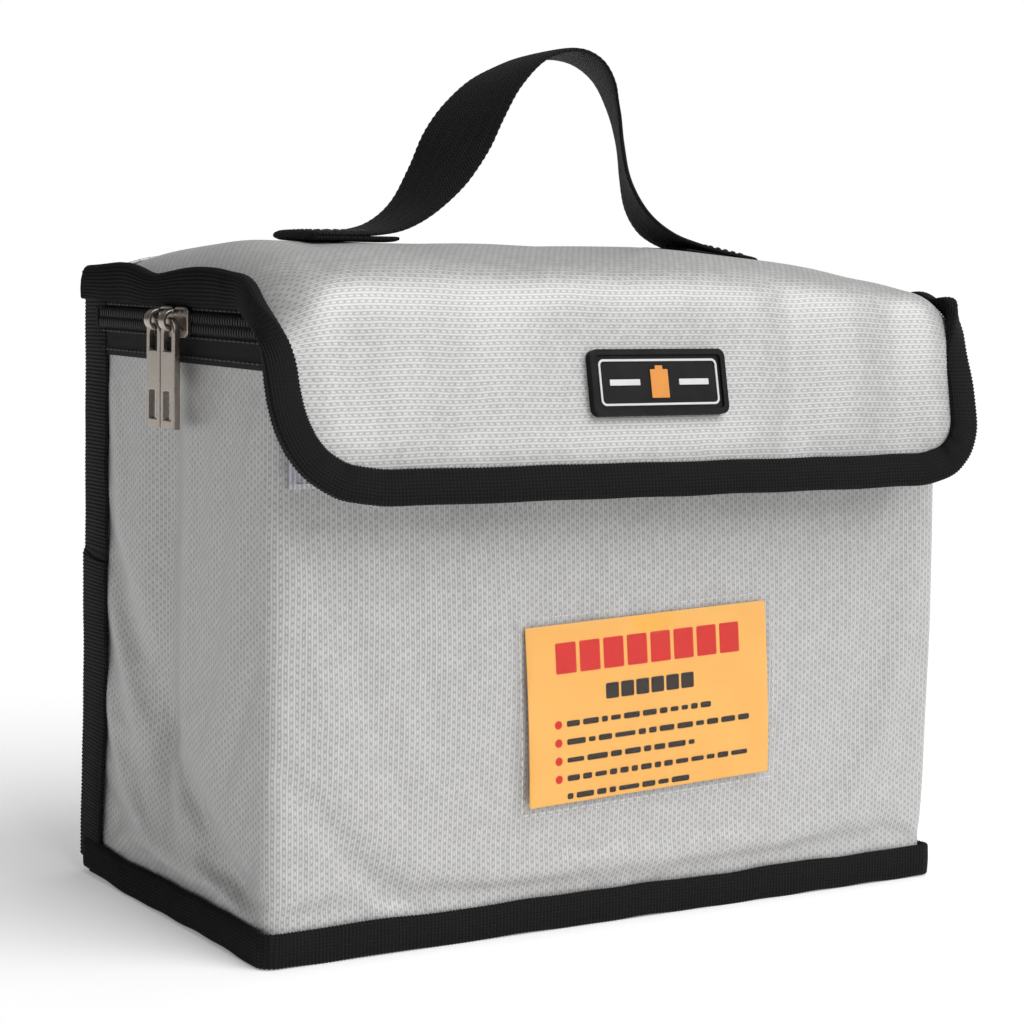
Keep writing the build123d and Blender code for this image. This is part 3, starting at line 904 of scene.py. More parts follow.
def wall_depth_grid():
    """How far the finished body cloth stands out, sampled over the wrap, for the layers behind it."""
    s = np.linspace(0, WRAP_TOTAL, int(WRAP_TOTAL / 5) + 1)
    z = np.linspace(3, WALL_TOP - 2, 31)
    points, normals = path_frames(WRAP, s)
    depth = np.zeros((len(s), len(z)))
    for i, (p, n) in enumerate(zip(points, normals)):
        direction = Vector((-n[0], -n[1], 0))
        for k, height in enumerate(z):
            start = Vector(((p[0] + 30 * n[0]) * MM, (p[1] + 30 * n[1]) * MM, height * MM))
            hit = body_surface.ray_cast(start, direction, 0.06)
            depth[i, k] = 30 - hit[3] / MM if hit[0] else 0.0
    return s, z, depth


depth_s, depth_z, depth_map = wall_depth_grid()


def wall_depth(s, z):
    """Bilinear look-up of the sampled depths."""
    gi = np.clip(np.interp(s, depth_s, np.arange(len(depth_s))), 0, len(depth_s) - 1.001)
    gk = np.clip(np.interp(z, depth_z, np.arange(len(depth_z))), 0, len(depth_z) - 1.001)
    i, k = gi.astype(int), gk.astype(int)
    a, b = gi - i, gk - k
    low = depth_map[i, k] * (1 - a) + depth_map[i + 1, k] * a
    high = depth_map[i, k + 1] * (1 - a) + depth_map[i + 1, k + 1] * a
    return low * (1 - b) + high * b


def wall_padding(name, node, s0, s1, seed):
    """The felt of a wall from s0 to s1 along the wrap, following the cloth in front of it."""
    z0, z1 = PAD + 0.2, WALL_TOP - 0.6
    s = np.linspace(s0, s1, int((s1 - s0) / 4))
    z = np.linspace(z0, z1, int((z1 - z0) / 4))
    points, normals = path_frames(WRAP, s)
    ss, zz = np.meshgrid(s, z, indexing="ij")
    out = wall_depth(ss, zz) - 0.95 + 0.12 * soft_noise(ss, zz, 12, seed)
    flat = points[:, None, :] + out[..., None] * normals[:, None, :]
    piece = grid_object(name, np.concatenate([flat, zz[..., None]], -1), np.stack([ss, zz], -1))
    solidify(piece, 1.8)
    dress(piece, "white_felt")
    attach(piece, "shell")
    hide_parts(node)


def soft_slab(name, node, low, high, slot, seed=1, cells=28):
    """A soft block of felt or pile with rounded edges and a slightly uneven face."""
    low, high = np.array(low, float), np.array(high, float)
    size = high - low
    mesh = bmesh.new()
    bmesh.ops.create_cube(mesh, size=1.0)
    longest = size.max()
    for axis in range(3):
        cuts = int(cells * size[axis] / longest)
        edges = [e for e in mesh.edges if abs((e.verts[0].co - e.verts[1].co)[axis]) > 0.5]
        if cuts > 0 and edges:
            bmesh.ops.subdivide_edges(mesh, edges=edges, cuts=cuts, use_grid_fill=True)
    data = bpy.data.meshes.new(name)
    mesh.to_mesh(data)
    mesh.free()
    spots = np.array([v.co for v in data.vertices]) * size + (low + high) / 2
    unevenness = [soft_noise(spots[:, 0] + spots[:, 1], spots[:, 2], 9, seed + k) for k in range(3)]
    spots += 0.08 * min(size.min(), 2.0) * np.stack(unevenness, -1)
    data.vertices.foreach_set("co", (spots * MM).astype(np.float32).ravel())
    layer = data.uv_layers.new(name="UVMap")
    corner = np.zeros(len(data.loops), np.int32)
    data.loops.foreach_get("vertex_index", corner)
    flat_axes = sorted(np.argsort(size)[1:])
    layer.data.foreach_set("uv", (spots[corner][:, flat_axes] * MM).ravel())
    data.polygons.foreach_set("use_smooth", [True] * len(data.polygons))
    data.update()
    piece = bpy.data.objects.new(name, data)
    bpy.context.scene.collection.objects.link(piece)
    mod = piece.modifiers.new("Round", "BEVEL")
    mod.width = min(0.9, size.min() * 0.4) * MM
    mod.segments = 2
    mod.limit_method = "ANGLE"
    apply_modifiers(piece)
    dress(piece, slot)
    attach(piece, "shell")
    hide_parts(node)


def make_padding():
    right = WRAP_TOTAL - LEFT_END
    wall_padding("padding_left", "left_felt", 1.0, LEFT_END, 31)
    wall_padding("padding_front", "front_felt", LEFT_END + ARC, right - ARC, 32)
    wall_padding("padding_right", "right_felt", right, WRAP_TOTAL - 1.0, 33)
    for name, node, seed in (("padding_back", "back_felt", 34), ("padding_base", "base_felt", 35)):
        low, high = node_box(node)
        soft_slab(name, node, low + 0.15, high - 0.15, "white_felt", seed=seed)


make_padding()


def loop_path(inset, r=4.0):
    """The closed line round all four walls, drawn in by inset, with rounded corners."""
    half_w, front, back = HALF_W - inset, FRONT_Y + inset, BACK_Y - inset
    turn = np.linspace(0, math.pi / 2, 6)
    arc = np.stack([r - r * np.cos(turn), r - r * np.sin(turn)], -1)
    corners = [
        [(-half_w + a, front + b) for a, b in arc],
        [(half_w - a, front + b) for a, b in arc[::-1]],
        [(half_w - a, back - b) for a, b in arc],
        [(-half_w + a, back - b) for a, b in arc[::-1]],
    ]
    points = [p for corner in corners for p in corner]
    return np.array(points + points[:1], float)


def make_inner_lining():
    """The grey tub inside: a turned rim, walls that follow the padding, and a floor."""
    count = 220
    rim = [(1.0, -0.6), (1.2, 0.2), (2.0, 0.5), (2.9, 0.3), (3.1, -1.5)]  # inset, and height above the top
    line = loop_path(3.0)
    s = np.linspace(0, arc_lengths(line)[-1], count + 1)[:-1]
    x, y = resample(line, s).T
    side = smoothstep((np.abs(x) - HALF_W + 8) / 4)
    at_back = smoothstep((y - BACK_Y + 6) / 2.5)
    # Distance along the wrap of the nearest place on the cloth, for the depth look-up.
    from_back = WRAP_BACK_Y - y
    along = np.where(x < 0, from_back, WRAP_TOTAL - from_back)
    along = np.where(y < FRONT_Y + 7, LEFT_END + ARC + (x + HALF_W - CORNER_R), along)
    outward = np.where((side > 0.5)[:, None], np.stack([np.sign(x), 0 * x], -1), (0.0, -1.0))
    outward = np.where(at_back[:, None] > 0.5, (0.0, 1.0), outward)
    back_top = 169.0
    top = WALL_TOP + (back_top - WALL_TOP) * at_back
    rings = [(inset, top + dz) for inset, dz in rim]
    rings += [(3.1, PAD + 0.6 + (top - PAD) * share) for share in np.linspace(0.97, 0.06, 26)]
    rings += [(inset, np.full(count, PAD + dz)) for inset, dz in ((3.6, 2.4), (5.4, 0.8), (9.0, 0.35))]
    points, uvs = [], []
    for inset, z in rings:
        depth = np.minimum(wall_depth(along, z), 1.5) * (1 - at_back) + 0.25 * soft_noise(s, z, 34, 8)
        depth = depth * smoothstep((z - 6) / 20)
        loop = spread(loop_path(inset), count + 1)[:-1] + outward * depth[:, None]
        points.append(np.concatenate([loop, z[:, None]], -1))
        uvs.append(np.stack([s, z], -1))
    floor_from = points[-1]
    for share in np.linspace(0.9, 0.0, 12):
        ring = floor_from.copy()
        ring[:, :2] *= share
        ring[:, 2] = PAD + 0.35 + 0.15 * soft_noise(ring[:, 0], ring[:, 1], 40, 9) * (1 - share)
        points.append(ring)
        uvs.append(ring[:, :2])
    lining = grid_object("lining_body", np.array(points), np.array(uvs), wrap_cols=True)
    weld = lining.modifiers.new("Weld", "WELD")
    weld.merge_threshold = 0.1 * MM
    apply_modifiers(lining)
    solidify(lining, 0.4, 0.0)
    dress(lining, "grey_lining")
    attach(lining, "shell")
    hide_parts("inner_lining")


make_inner_lining()


def make_back_cloth():
    """The back panel: up the back, over the hinge and a little way on to the lid."""
    corners = [(BACK_Y, CLOTH), (BACK_Y, 166.0), (BACK_Y + 1.0, 171.2), (BACK_Y - 1.0, 175.2), (50, 178.0)]
    line = smooth_polyline(corners, 1.8)
    total = arc_lengths(line)[-1]
    s = np.concatenate([np.linspace(0, 150, 52), np.linspace(151.5, total, 22)])
    x = np.linspace(-HALF_W + 0.3, HALF_W - 0.3, 84)
    centre = resample(line, s)
    sx, xx = np.meshgrid(s, x, indexing="ij")
    relief = 2.2 * np.sin(math.pi * np.clip(sx / 165, 0, 1)) ** 0.8 * np.clip(1 - (xx / HALF_W) ** 4, 0, 1)
    relief += 0.5 * soft_noise(xx, sx, 52, 41) * smoothstep((165 - sx) / 20) * smoothstep(sx / 14)
    relief -= 1.2 * crease(xx, sx, (-86, 150), (-60, 96), 7) + 1.0 * crease(xx, sx, (80, 20), (52, 70), 8)
    edge = HALF_W - np.abs(xx)
    relief *= smoothstep((edge - 6) / 16)  # flat under the tapes
    y = centre[:, None, 0] + relief * smoothstep((172 - sx) / 14)
    z = centre[:, None, 1] + 0 * xx
    z = z - smoothstep((sx - 170) / 6) * lid_fall(xx, edge) * np.maximum(z - RIM_Z - 0.5, 0)
    points = np.stack([xx, y, z], -1)
    cloth = grid_object("cloth_back", points, np.stack([xx, sx], -1))
    subdivide(cloth)
    solidify(cloth, CLOTH, -1.0)
    dress(cloth, "silver_cloth")
    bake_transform(cloth)
    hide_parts("back_panel")


def make_base_cloth():
    """The base panel, inside the base tape and nearly flat."""
    inset = 5.5
    x = np.linspace(-HALF_W + inset, HALF_W - inset, 60)
    y = np.linspace(FRONT_Y + inset, BACK_Y - inset, 34)
    xx, yy = np.meshgrid(x, y, indexing="ij")
    zz = 0.55 + 0.2 * soft_noise(xx, yy, 40, 51)
    cloth = grid_object("cloth_base", np.stack([xx, yy, zz], -1), np.stack([xx, yy], -1))
    solidify(cloth, 0.4, 1.0)
    dress(cloth, "silver_cloth")
    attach(cloth, "shell")
    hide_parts("base_panel")


make_back_cloth()
make_base_cloth()

# ---------------------------------------------------------------- binding tape

STATIONS_PER_RIB = 4


def tape_section(width, above, below):
    """The outline of a folded tape: across from its fold, and out from the cloth's face."""
    return np.array(
        [
            (0.0, 0.0),
            (0.12, above * 0.75),
            (0.7, above),
            (width * 0.5, above * 1.06),
            (width - 0.6, above * 0.96),
            (width, above * 0.45),
            (width - 0.1, -below * 0.5),
            (width - 0.6, -below),
            (width * 0.5, -below * 1.05),
            (0.7, -below),
            (0.12, -below * 0.75),
        ]
    )


def make_tape(name, line, normals, width, above, below, closed=False, seed=1, wave=0.25, widths=None):
    """Binding tape along line, its fold on the line, its face towards normals, with its ribs in the mesh."""
    distance = arc_lengths(line)
    total = distance[-1]
    count = int(total / RIB * STATIONS_PER_RIB)
    t = np.linspace(0, total, count + (0 if closed else 1), endpoint=not closed)
    at = resample(line, t)
    reach = 0.8
    if closed:
        tangent = unit(resample(line, (t + reach) % total) - resample(line, (t - reach) % total))
    else:
        tangent = tangents(line, t, reach)
    out = square_to(look_up(t, distance, normals), tangent)
    across = np.cross(out, tangent)
    section = tape_section(width, above, below)
    phase = np.cos(math.tau * t / RIB)
    wobble = wave * soft_noise(t, 0 * t, 26, seed)
    # Real tape is never quite even: its free edge wanders, or follows the widths given.
    fuller = 1 + 0.03 * soft_noise(t, 0 * t, 33, seed + 7)
    if widths is not None:
        fuller = np.interp(t, distance, widths) / width
    points = np.zeros((len(t), len(section), 3))
    for k, (a, n) in enumerate(section):
        rib = 0.13 * phase * np.sign(n) if abs(n) > 0.3 else 0 * phase
        edge = 0.10 * phase * (-1 if a < 0.3 else 1 if a > width - 0.3 else 0)
        lift = 0.22 * soft_noise(t, 0 * t + a * 2, 17, seed + 3)
        points[:, k] = at + (a * fuller + edge + wobble)[:, None] * across
        points[:, k] += (n + rib + lift * (a / width))[:, None] * out
    around = np.concatenate([[0], np.cumsum(np.hypot(*np.diff(section, axis=0).T))])
    uvs = np.stack(np.broadcast_arrays(t[:, None], around[None, :]), -1)
    rows, cols = points.shape[:2]
    faces = [list(f) for f in grid_faces(rows, cols, closed, True)[:, ::-1]]
    if not closed:
        faces += [list(range(cols)), list(range(rows * cols - 1, (rows - 1) * cols - 1, -1))]
    tape = make_object(name, points.reshape(-1, 3), faces, uvs.reshape(-1, 2))
    return dress(tape, "black_tape")


def make_base_tape():
    """The tape round the foot of the walls, lifting a little at the left and at the back corner."""
    dense = spread(loop_path(0.0, 2.2), 700)
    normals = np.pad(plan_normals(loop_tangents(dense)), ((0, 0), (0, 1)))
    normals = np.concatenate([normals, normals[:1]])
    lift = 0.7 * bump(dense[:, 1], -10, 26) * (dense[:, 0] < -HALF_W + 2)
    lift += 1.7 * np.exp(-0.5 * ((dense[:, 0] + HALF_W) ** 2 + (dense[:, 1] - BACK_Y) ** 2) / 16.0**2)
    foot = np.concatenate([dense, (0.12 + lift)[:, None]], -1) + 0.85 * normals
    tape = make_tape("tape_base", foot, normals, TAPE_W, 1.0, 0.9, closed=True, seed=61)
    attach(tape, "shell")
    # The other leg, folded in under the bag.
    down = np.repeat([[0.0, 0.0, -1.0]], len(dense), 0)
    under = np.concatenate([dense, np.full((len(dense), 1), 0.5)], -1) + 0.2 * normals
    leg = make_tape("tape_base_leg", under[::-1], down, 7.5, 0.3, 0.25, closed=True, seed=62, wave=0.1)
    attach(leg, "shell")
    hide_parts("base_binding")


TAPE_JOIN_Z = 93.0  # height at which the back tapes are joined


def make_back_tapes():
    """The two upright tapes folded round the back corners, from the base tape to the lid hinge."""
    for side, sign, node in (("left", -1, "back_left_binding"), ("right", 1, "back_right_binding")):
        z = np.linspace(TAPE_W * 0.55, 170.2, 200)
        # The tape is joined on the way up: the lower length lies over the upper one.
        lower = 1 - smoothstep((z - TAPE_JOIN_Z) / 1.5)
        x = np.full_like(z, sign * (HALF_W + 0.15)) + sign * 0.5 * lower
        foot = 1 - smoothstep(z / 46)
        y = BACK_Y - 0.4 + 2.6 * foot + 0.4 * lower + 0.35 * soft_noise(z, 0 * z, 40, 70 + sign)
        if sign > 0:
            y += 0.6 * (1 - lower)  # out to the rear tape, so no cloth shows between them
        width = 13.4 + 1.9 * smoothstep((z - 12) / 45) + 0.8 * lower
        line = np.stack([x, y, z], -1)
        normals = np.repeat([[float(sign), 0, 0]], len(z), 0)
        if sign < 0:
            line, width = line[::-1], width[::-1]
        name = "tape_back_" + side
        tape = make_tape(name, line, normals, 14.0, 0.95, 0.3, seed=71 + sign, wave=0.4, widths=width)
        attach(tape, "shell")
        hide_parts(node)
        behind = np.stack([x, np.full_like(z, BACK_Y + 0.2) + 2.0 * foot, z], -1)
        if sign > 0:
            behind = behind[::-1]
        back = np.repeat([[0, 1.0, 0]], len(z), 0)
        rear = make_tape("tape_rear_" + side, behind, back, 10.0, 0.8, 0.3, seed=75 + sign)
        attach(rear, "shell")


def make_flap_tape():
    """One length of tape: along the lid's left side, round the flap's edge, and back along the right side."""
    tape_z = node_box("lid_left_binding")[0][2]
    side_y = np.linspace(BACK_Y - 2.0, -38, 16)
    out = 0.95 + 0.35 * smoothstep((side_y - 30) / 12)
    left = [(-HALF_W - o, y, tape_z) for o, y in zip(out, side_y)]
    right = [(HALF_W + o, y, tape_z) for o, y in zip(out, side_y)][::-1]
    path = np.array(left + FLAP_EDGE + right)
    line = smooth_polyline(path, 2.4, 0.4)
    distance = arc_lengths(line)
    total = distance[-1]
    turn_left = distance[np.argmin(np.linalg.norm(line - (-112.0, -60.5, 158.5), axis=1))]
    turn_right = distance[np.argmin(np.linalg.norm(line - (108.8, -62.0, 161.0), axis=1))]
    past_left = smoothstep((distance - turn_left + 15) / 30)
    before_right = smoothstep((turn_right + 13 - distance) / 26)
    on_flap = np.minimum(past_left, before_right)[:, None]
    outward = np.where(distance[:, None] < total / 2, (-1.0, 0, 0), (1.0, 0, 0))
    normals = outward * (1 - on_flap) + FLAP_OUT[None, :] * on_flap
    normals /= np.linalg.norm(normals, axis=1)[:, None]
    line[:, 2] += 0.55 * soft_noise(distance, 0 * distance, 34, 81) * (1 - on_flap[:, 0])
    # The tape's free edge humps up a little along the lid's sides.
    widths = TAPE_W + (1.4 * soft_noise(distance, 0 * distance, 31, 83) + 0.6) * (1 - on_flap[:, 0])
    # Its ends are cut with rounded corners.
    widths -= 3.4 * (1 - np.sqrt(1 - np.clip(1 - np.minimum(distance, total - distance) / 3.4, 0, 1) ** 2))
    # It draws in where it turns the shoulders, and is pulled over the low right edge of the lid.
    widths -= 3.2 * bump(distance, turn_left - 3, 7) + 3.0 * bump(distance, turn_right + 3, 8)
    widths -= 6.8 * smoothstep((distance - turn_right - 2) / 10)
    tape = make_tape("tape_flap", line, normals, TAPE_W, 1.45, 1.9, seed=82, wave=0.25, widths=widths)
    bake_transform(tape)
    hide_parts("lid_left_binding", "lid_right_binding", "flap_binding")
    return tape


make_base_tape()
make_back_tapes()
flap_tape = make_flap_tape()

# ---------------------------------------------------------------- stitches


def make_stitches(name, runs, body, thread, radius=0.22, pitch=3.0, length=2.1):
    """Thread lying along each run of (points, outward directions), as separate stitches."""
    verts, faces, uvs = [], [], []
    ring = 6
    for line, out in runs:
        line, out = np.asarray(line, float), np.asarray(out, float)
        distance = arc_lengths(line)
        total = distance[-1]
        count = max(int(total / pitch), 1)
        for k in range(count):
            middle = (k + 0.5) * total / count
            t = middle + np.array([-0.5, -0.42, -0.15, 0.15, 0.42, 0.5]) * length
            lift = np.array([-0.5, 0.25, 0.7, 0.7, 0.25, -0.5]) * radius
            thick = np.array([0.35, 0.85, 1, 1, 0.85, 0.35]) * radius
            at = resample(line, np.clip(t, 0, total))
            normal = unit(look_up(middle, distance, out))
            side = np.cross(unit(at[-1] - at[0]), normal)
            first = len(verts)
            for j in range(len(t)):
                for q in range(ring):
                    angle = math.tau * q / ring
                    spoke = math.cos(angle) * side + math.sin(angle) * normal
                    verts.append(at[j] + normal * lift[j] + thick[j] * spoke)
                    uvs.append((t[j], angle))
            for f in grid_faces(len(t), ring, False, True):
                faces.append([first + i for i in f])
            faces.append([first + q for q in range(ring)][::-1])
            faces.append([first + (len(t) - 1) * ring + q for q in range(ring)])
    piece = make_object(name, verts, faces, uvs)
    piece.data.materials.append(THREADS[thread])
    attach(piece, body)


# ---------------------------------------------------------------- zip


def zip_strip(name, node, z0, z1, y_end, body, tuck=0.0):
    """Half the zip's tape, between two heights, round left, front and right."""
    thickness = 0.6
    path = u_path(0.0, y_end)
    total = arc_lengths(path)[-1]
    s = np.linspace(0, total, 300)
    points, normals = path_frames(path, s)
    rows = np.linspace(z0, z1, 6)
    ripple = 0.1 * soft_noise(s[:, None], rows[None, :] * 3, 30, 91)
    flat = points[:, None, :] + (ripple + thickness)[..., None] * normals[:, None, :]
    # Its top edge tucks down with the lid's cloth at the front corners.
    corner = y_end - FRONT_Y
    dip = tuck * sum(smoothstep(1.6 - np.abs(along - corner) / 16) for along in (s, total - s))
    zz = rows[None, :] - dip[:, None] * ((rows - z0) / (z1 - z0))[None, :]
    spots = np.concatenate([flat, zz[..., None]], -1)
    uvs = np.stack(np.broadcast_arrays(s[:, None], rows[None, :]), -1)
    strip = grid_object(name, spots, uvs)
    solidify(strip, thickness)
    dress(strip, "zip_tape")
    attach(strip, body)
    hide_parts(node)


COIL_PITCH = 1.5  # from loop to loop
COIL_OUT_R, COIL_UP_R = 1.05, 1.55  # half the loops' depth and height
COIL_WIRE = 0.36
COIL_LEAN, COIL_SPREAD = 0.28, 0.2


def zip_coil(name, node, body, mid_z, shift):
    """A row of nylon coil: one leaning loop after another along the chain."""
    path = u_path(0.45, node_box(node)[1][1])
    s = np.arange(COIL_PITCH + shift, arc_lengths(path)[-1] - COIL_PITCH, COIL_PITCH)
    points, normals = path_frames(path, s)
    ring, wire = 12, 5
    a = np.linspace(0, math.tau, ring, endpoint=False)
    b = np.linspace(0, math.tau, wire, endpoint=False)
    verts, uvs, faces = [], [], []
    quads = grid_faces(ring, wire, True, True)
    for k, (p, n) in enumerate(zip(points, normals)):
        tangent = np.array([-n[1], n[0], 0.0])
        out = np.array([n[0], n[1], 0.0])
        up = np.array([0, 0, 1.0])
        for angle in a:
            centre = math.cos(angle) * COIL_OUT_R * out + math.sin(angle) * COIL_UP_R * up
            centre = centre + (COIL_LEAN * math.sin(angle) + COIL_SPREAD * math.cos(angle)) * tangent
            radial = unit(math.cos(angle) * out * COIL_UP_R + math.sin(angle) * up * COIL_OUT_R)
            for beta in b:
                spot = centre + COIL_WIRE * (math.cos(beta) * radial + math.sin(beta) * tangent)
                verts.append((p[0] + spot[0], p[1] + spot[1], mid_z + spot[2]))
                uvs.append((s[k], beta))
        faces.append(quads + k * ring * wire)
    coil = make_object(name, np.array(verts), np.concatenate(faces), np.array(uvs))
    dress(coil, "zip_coil")
    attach(coil, body)
    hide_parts(node)


def make_zip():
    lower, upper = node_box("lower_zip_tape"), node_box("upper_zip_tape")
    low_coil, high_coil = node_box("lower_zip_coil"), node_box("upper_zip_coil")
    foot, top = lower[0][2], upper[1][2]
    coil_foot, coil_top = low_coil[0][2], high_coil[1][2]
    zip_strip("zip_tape_lower", "lower_zip_tape", foot, coil_foot + 0.6, lower[1][1], "shell")
    tuck = 0.75 * (top - coil_top)
    zip_strip("zip_tape_upper", "upper_zip_tape", coil_top - 0.6, top, upper[1][1], "lid", tuck)
    middle = (low_coil[1][2] + high_coil[0][2]) / 2
    zip_coil("zip_coil_lower", "lower_zip_coil", "shell", middle - 1.3, 0.0)
    zip_coil("zip_coil_upper", "upper_zip_coil", "lid", middle + 1.3, COIL_PITCH / 2)
    path = u_path(0.72, lower[1][1] - 4)
    points, normals = path_frames(path, np.linspace(0, arc_lengths(path)[-1], 400))
    out = np.pad(normals, ((0, 0), (0, 1)))
    rows = [("lower", foot + 1.6, "shell"), ("middle", coil_foot - 0.9, "shell")]
    for name, row_z, body in rows + [("upper", coil_top + 0.5, "lid")]:
        line = np.pad(points, ((0, 0), (0, 1)), constant_values=row_z)
        make_stitches("stitch_zip_" + name, [(line, out)], body, "black", radius=0.24, pitch=2.7, length=1.9)
    for side in ("left", "right"):
        low, high = node_box("zip_stop_" + side)
        soft_slab("stop_" + side, "zip_stop_" + side, low, high, "zip_tape", cells=6)


make_zip()

# ---------------------------------------------------------------- handle

# Points of the handle's middle line, x and z, each with the direction of the webbing's width there.
HANDLE_LINE = [
    (-71.3, 184.6, 0, 1, 0),
    (-60.0, 184.6, 0, 1, 0),
    (-50.0, 185.4, 0.02, 1, 0.02),
    (-42.0, 187.9, 0.04, 1, 0.06),
    (-34.5, 193.2, -0.02, 0.99, 0.12),
    (-27.5, 201.6, -0.16, 0.95, 0.22),
    (-21.8, 211.0, -0.28, 0.92, 0.24),
    (-16.3, 219.6, -0.20, 0.95, 0.19),
    (-9.0, 228.0, 0.00, 0.98, 0.15),
    (1.0, 234.6, 0.22, 0.97, 0.06),
    (11.5, 236.9, 0.30, 0.95, -0.04),
    (20.5, 235.2, 0.33, 0.94, -0.04),
    (27.3, 229.8, 0.38, 0.92, 0.0),
    (31.3, 221.5, 0.45, 0.89, 0.02),
    (33.8, 212.0, 0.50, 0.86, 0.05),
    (36.0, 202.5, 0.46, 0.88, 0.08),
    (40.5, 193.5, 0.32, 0.94, 0.07),
    (47.5, 187.0, 0.16, 0.98, 0.03),
    (56.0, 183.4, 0.04, 1, 0),
    (65.0, 181.4, 0, 1, 0),
    (74.5, 179.8, 0, 1, 0),
]
WEB_W = 25.0
WEB_T = 1.5


def catmull(points, count):
    """A smooth line through points."""
    p = np.asarray(points, float)
    p = np.concatenate([[2 * p[0] - p[1]], p, [2 * p[-1] - p[-2]]])
    out = []
    for i in range(1, len(p) - 2):
        t = np.linspace(0, 1, count, endpoint=False)[:, None]
        a, b, c, d = p[i - 1], p[i], p[i + 1], p[i + 2]
        curve = (2 * a - 5 * b + 4 * c - d) * t**2 + (3 * b - a - 3 * c + d) * t**3
        out.append(0.5 * (2 * b + (c - a) * t + curve))
    return np.concatenate(out + [p[-2:-1]])


def web_strip(name, line, width_dirs):
    """A webbing strip along line, its width along width_dirs, with serrated edges."""
    distance = arc_lengths(line)
    total = distance[-1]
    t = np.linspace(0, total, int(total / 0.5) + 1)
    at = resample(line, t)
    tangent = tangents(line, t, 0.7)
    wide = square_to(look_up(t, distance, width_dirs), tangent)
    face = np.cross(tangent, wide)
    half = WEB_W / 2
    top = [(c * (half - 0.25), WEB_T / 2 * (1 - 0.45 * abs(c) ** 8)) for c in np.linspace(-1, 1, 13)]
    section = top + [(half, 0.0)] + [(a, -n) for a, n in top[::-1]] + [(-half, 0.0)]
    tooth = 0.16 * np.cos(math.tau * t / 2.0)
    points = np.zeros((len(t), len(section), 3))
    for k, (a, n) in enumerate(section):
        grow = tooth * np.sign(a) * smoothstep((abs(a) - half + 1) / 1.0)
        cup = 0.35 * (a / half) ** 2
        points[:, k] = at + (a + grow)[:, None] * wide + (n - cup) * face
    uvs = np.stack(np.broadcast_arrays(t[:, None], np.array([a for a, n in section])[None, :]), -1)
    rows, count = points.shape[:2]
    faces = [list(f) for f in grid_faces(rows, count, False, True)]
    faces += [list(range(count))[::-1], list(range((rows - 1) * count, rows * count))]
    strip = make_object(name, points.reshape(-1, 3), faces, uvs.reshape(-1, 2))
    return dress(strip, "black_webbing")


def make_handle():
    """The standing loop, and its two ends folded under and sewn to the lid."""
    flat = catmull(HANDLE_LINE, 8)
    line = np.stack([flat[:, 0], 0 * flat[:, 0], flat[:, 1]], -1)
    strap = web_strip("handle_strap", line, flat[:, 2:5])
    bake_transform(strap)
    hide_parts("handle_loop")
    for side, outer, sign in (("left", line[0][0], 1), ("right", line[-1][0], -1)):
        # The strap's end is folded under itself and sewn down, following the lid.
        bottom = 183.0
        turn = np.linspace(0, math.pi, 10)
        r = 0.82
        bend = [(outer - sign * r * math.sin(a), 0, bottom + r - r * math.cos(a)) for a in turn]
        under = [(outer + sign * d, 0, bottom) for d in (25, 20, 15, 10, 6, 2)] + bend
        under = np.array(under + [(outer + sign * 1.5, 0, bottom + 2 * r)])
        under[:, 2] -= crest_fall(np.clip(under[:, 0], -75, 74.5))
        if sign < 0:
            under = under[::-1]
        end = web_strip("handle_end_" + side + "_fold", under, np.repeat([[0.0, 1, 0]], len(under), 0))
        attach(end, "lid")
        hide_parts("handle_end_" + side)
        x0, x1 = sorted((outer + sign * 2.5, outer + sign * 16))
        y0, y1 = -WEB_W / 2 + 2.6, WEB_W / 2 - 2.6
        corners = [
            (x, y, np.interp(x, line[:, 0], line[:, 2]) + WEB_T / 2 - 0.38)
            for x, y in ((x0, y0), (x1, y0), (x1, y1), (x0, y1))
        ]
        runs = []
        # A square and its two diagonals.
        for i, k in ((0, 1), (1, 2), (2, 3), (3, 0), (0, 2), (1, 3)):
            a, b = np.array(corners[i]), np.array(corners[k])
            run = a + (b - a) * np.linspace(0, 1, int(np.linalg.norm(b - a) / 2.0))[:, None]
            run[:, 2] += 0.28 - 0.35 * (run[:, 1] / (WEB_W / 2)) ** 2
            runs.append((run, np.repeat([(0, 0, 1)], len(run), 0)))
        make_stitches("stitch_handle_" + side, runs, "lid", "black", pitch=2.4, length=1.8)


make_handle()

# ---------------------------------------------------------------- front: strips, pocket and card


def front_fit(x0, x1, z0, z1):
    """A smooth quadratic through the body's front face over a rectangle."""
    xs, zs = np.meshgrid(np.linspace(x0, x1, 12), np.linspace(z0, z1, 9), indexing="ij")
    ys = np.array([[front_y(x, z) for x, z in zip(a, b)] for a, b in zip(xs, zs)])
    mx, mz = (x0 + x1) / 2, (z0 + z1) / 2

    def terms(x, z):
        u, v = (x - mx) / 40, (z - mz) / 40
        return np.stack([1 + 0 * u, u, v, u * u, u * v, v * v], -1)

    fit, *_ = np.linalg.lstsq(terms(xs, zs).reshape(-1, 6), ys.ravel(), rcond=None)
    clear = (ys - terms(xs, zs) @ fit).min()
    return lambda x, z: terms(np.asarray(x, float), np.asarray(z, float)) @ fit + min(clear, 0.0)


pocket_low, pocket_high = node_box("window_pocket")
card_low, card_high = node_box("info_card")
front_plane = front_fit(pocket_low[0], pocket_high[0], pocket_low[2], pocket_high[2])
VINYL_GAP = 2.1  # from the panel out to the vinyl's face
CARD_TILT = math.radians(2.3)  # the pocket was sewn on a little crooked
CARD_MIDDLE = (card_low + card_high) / 2


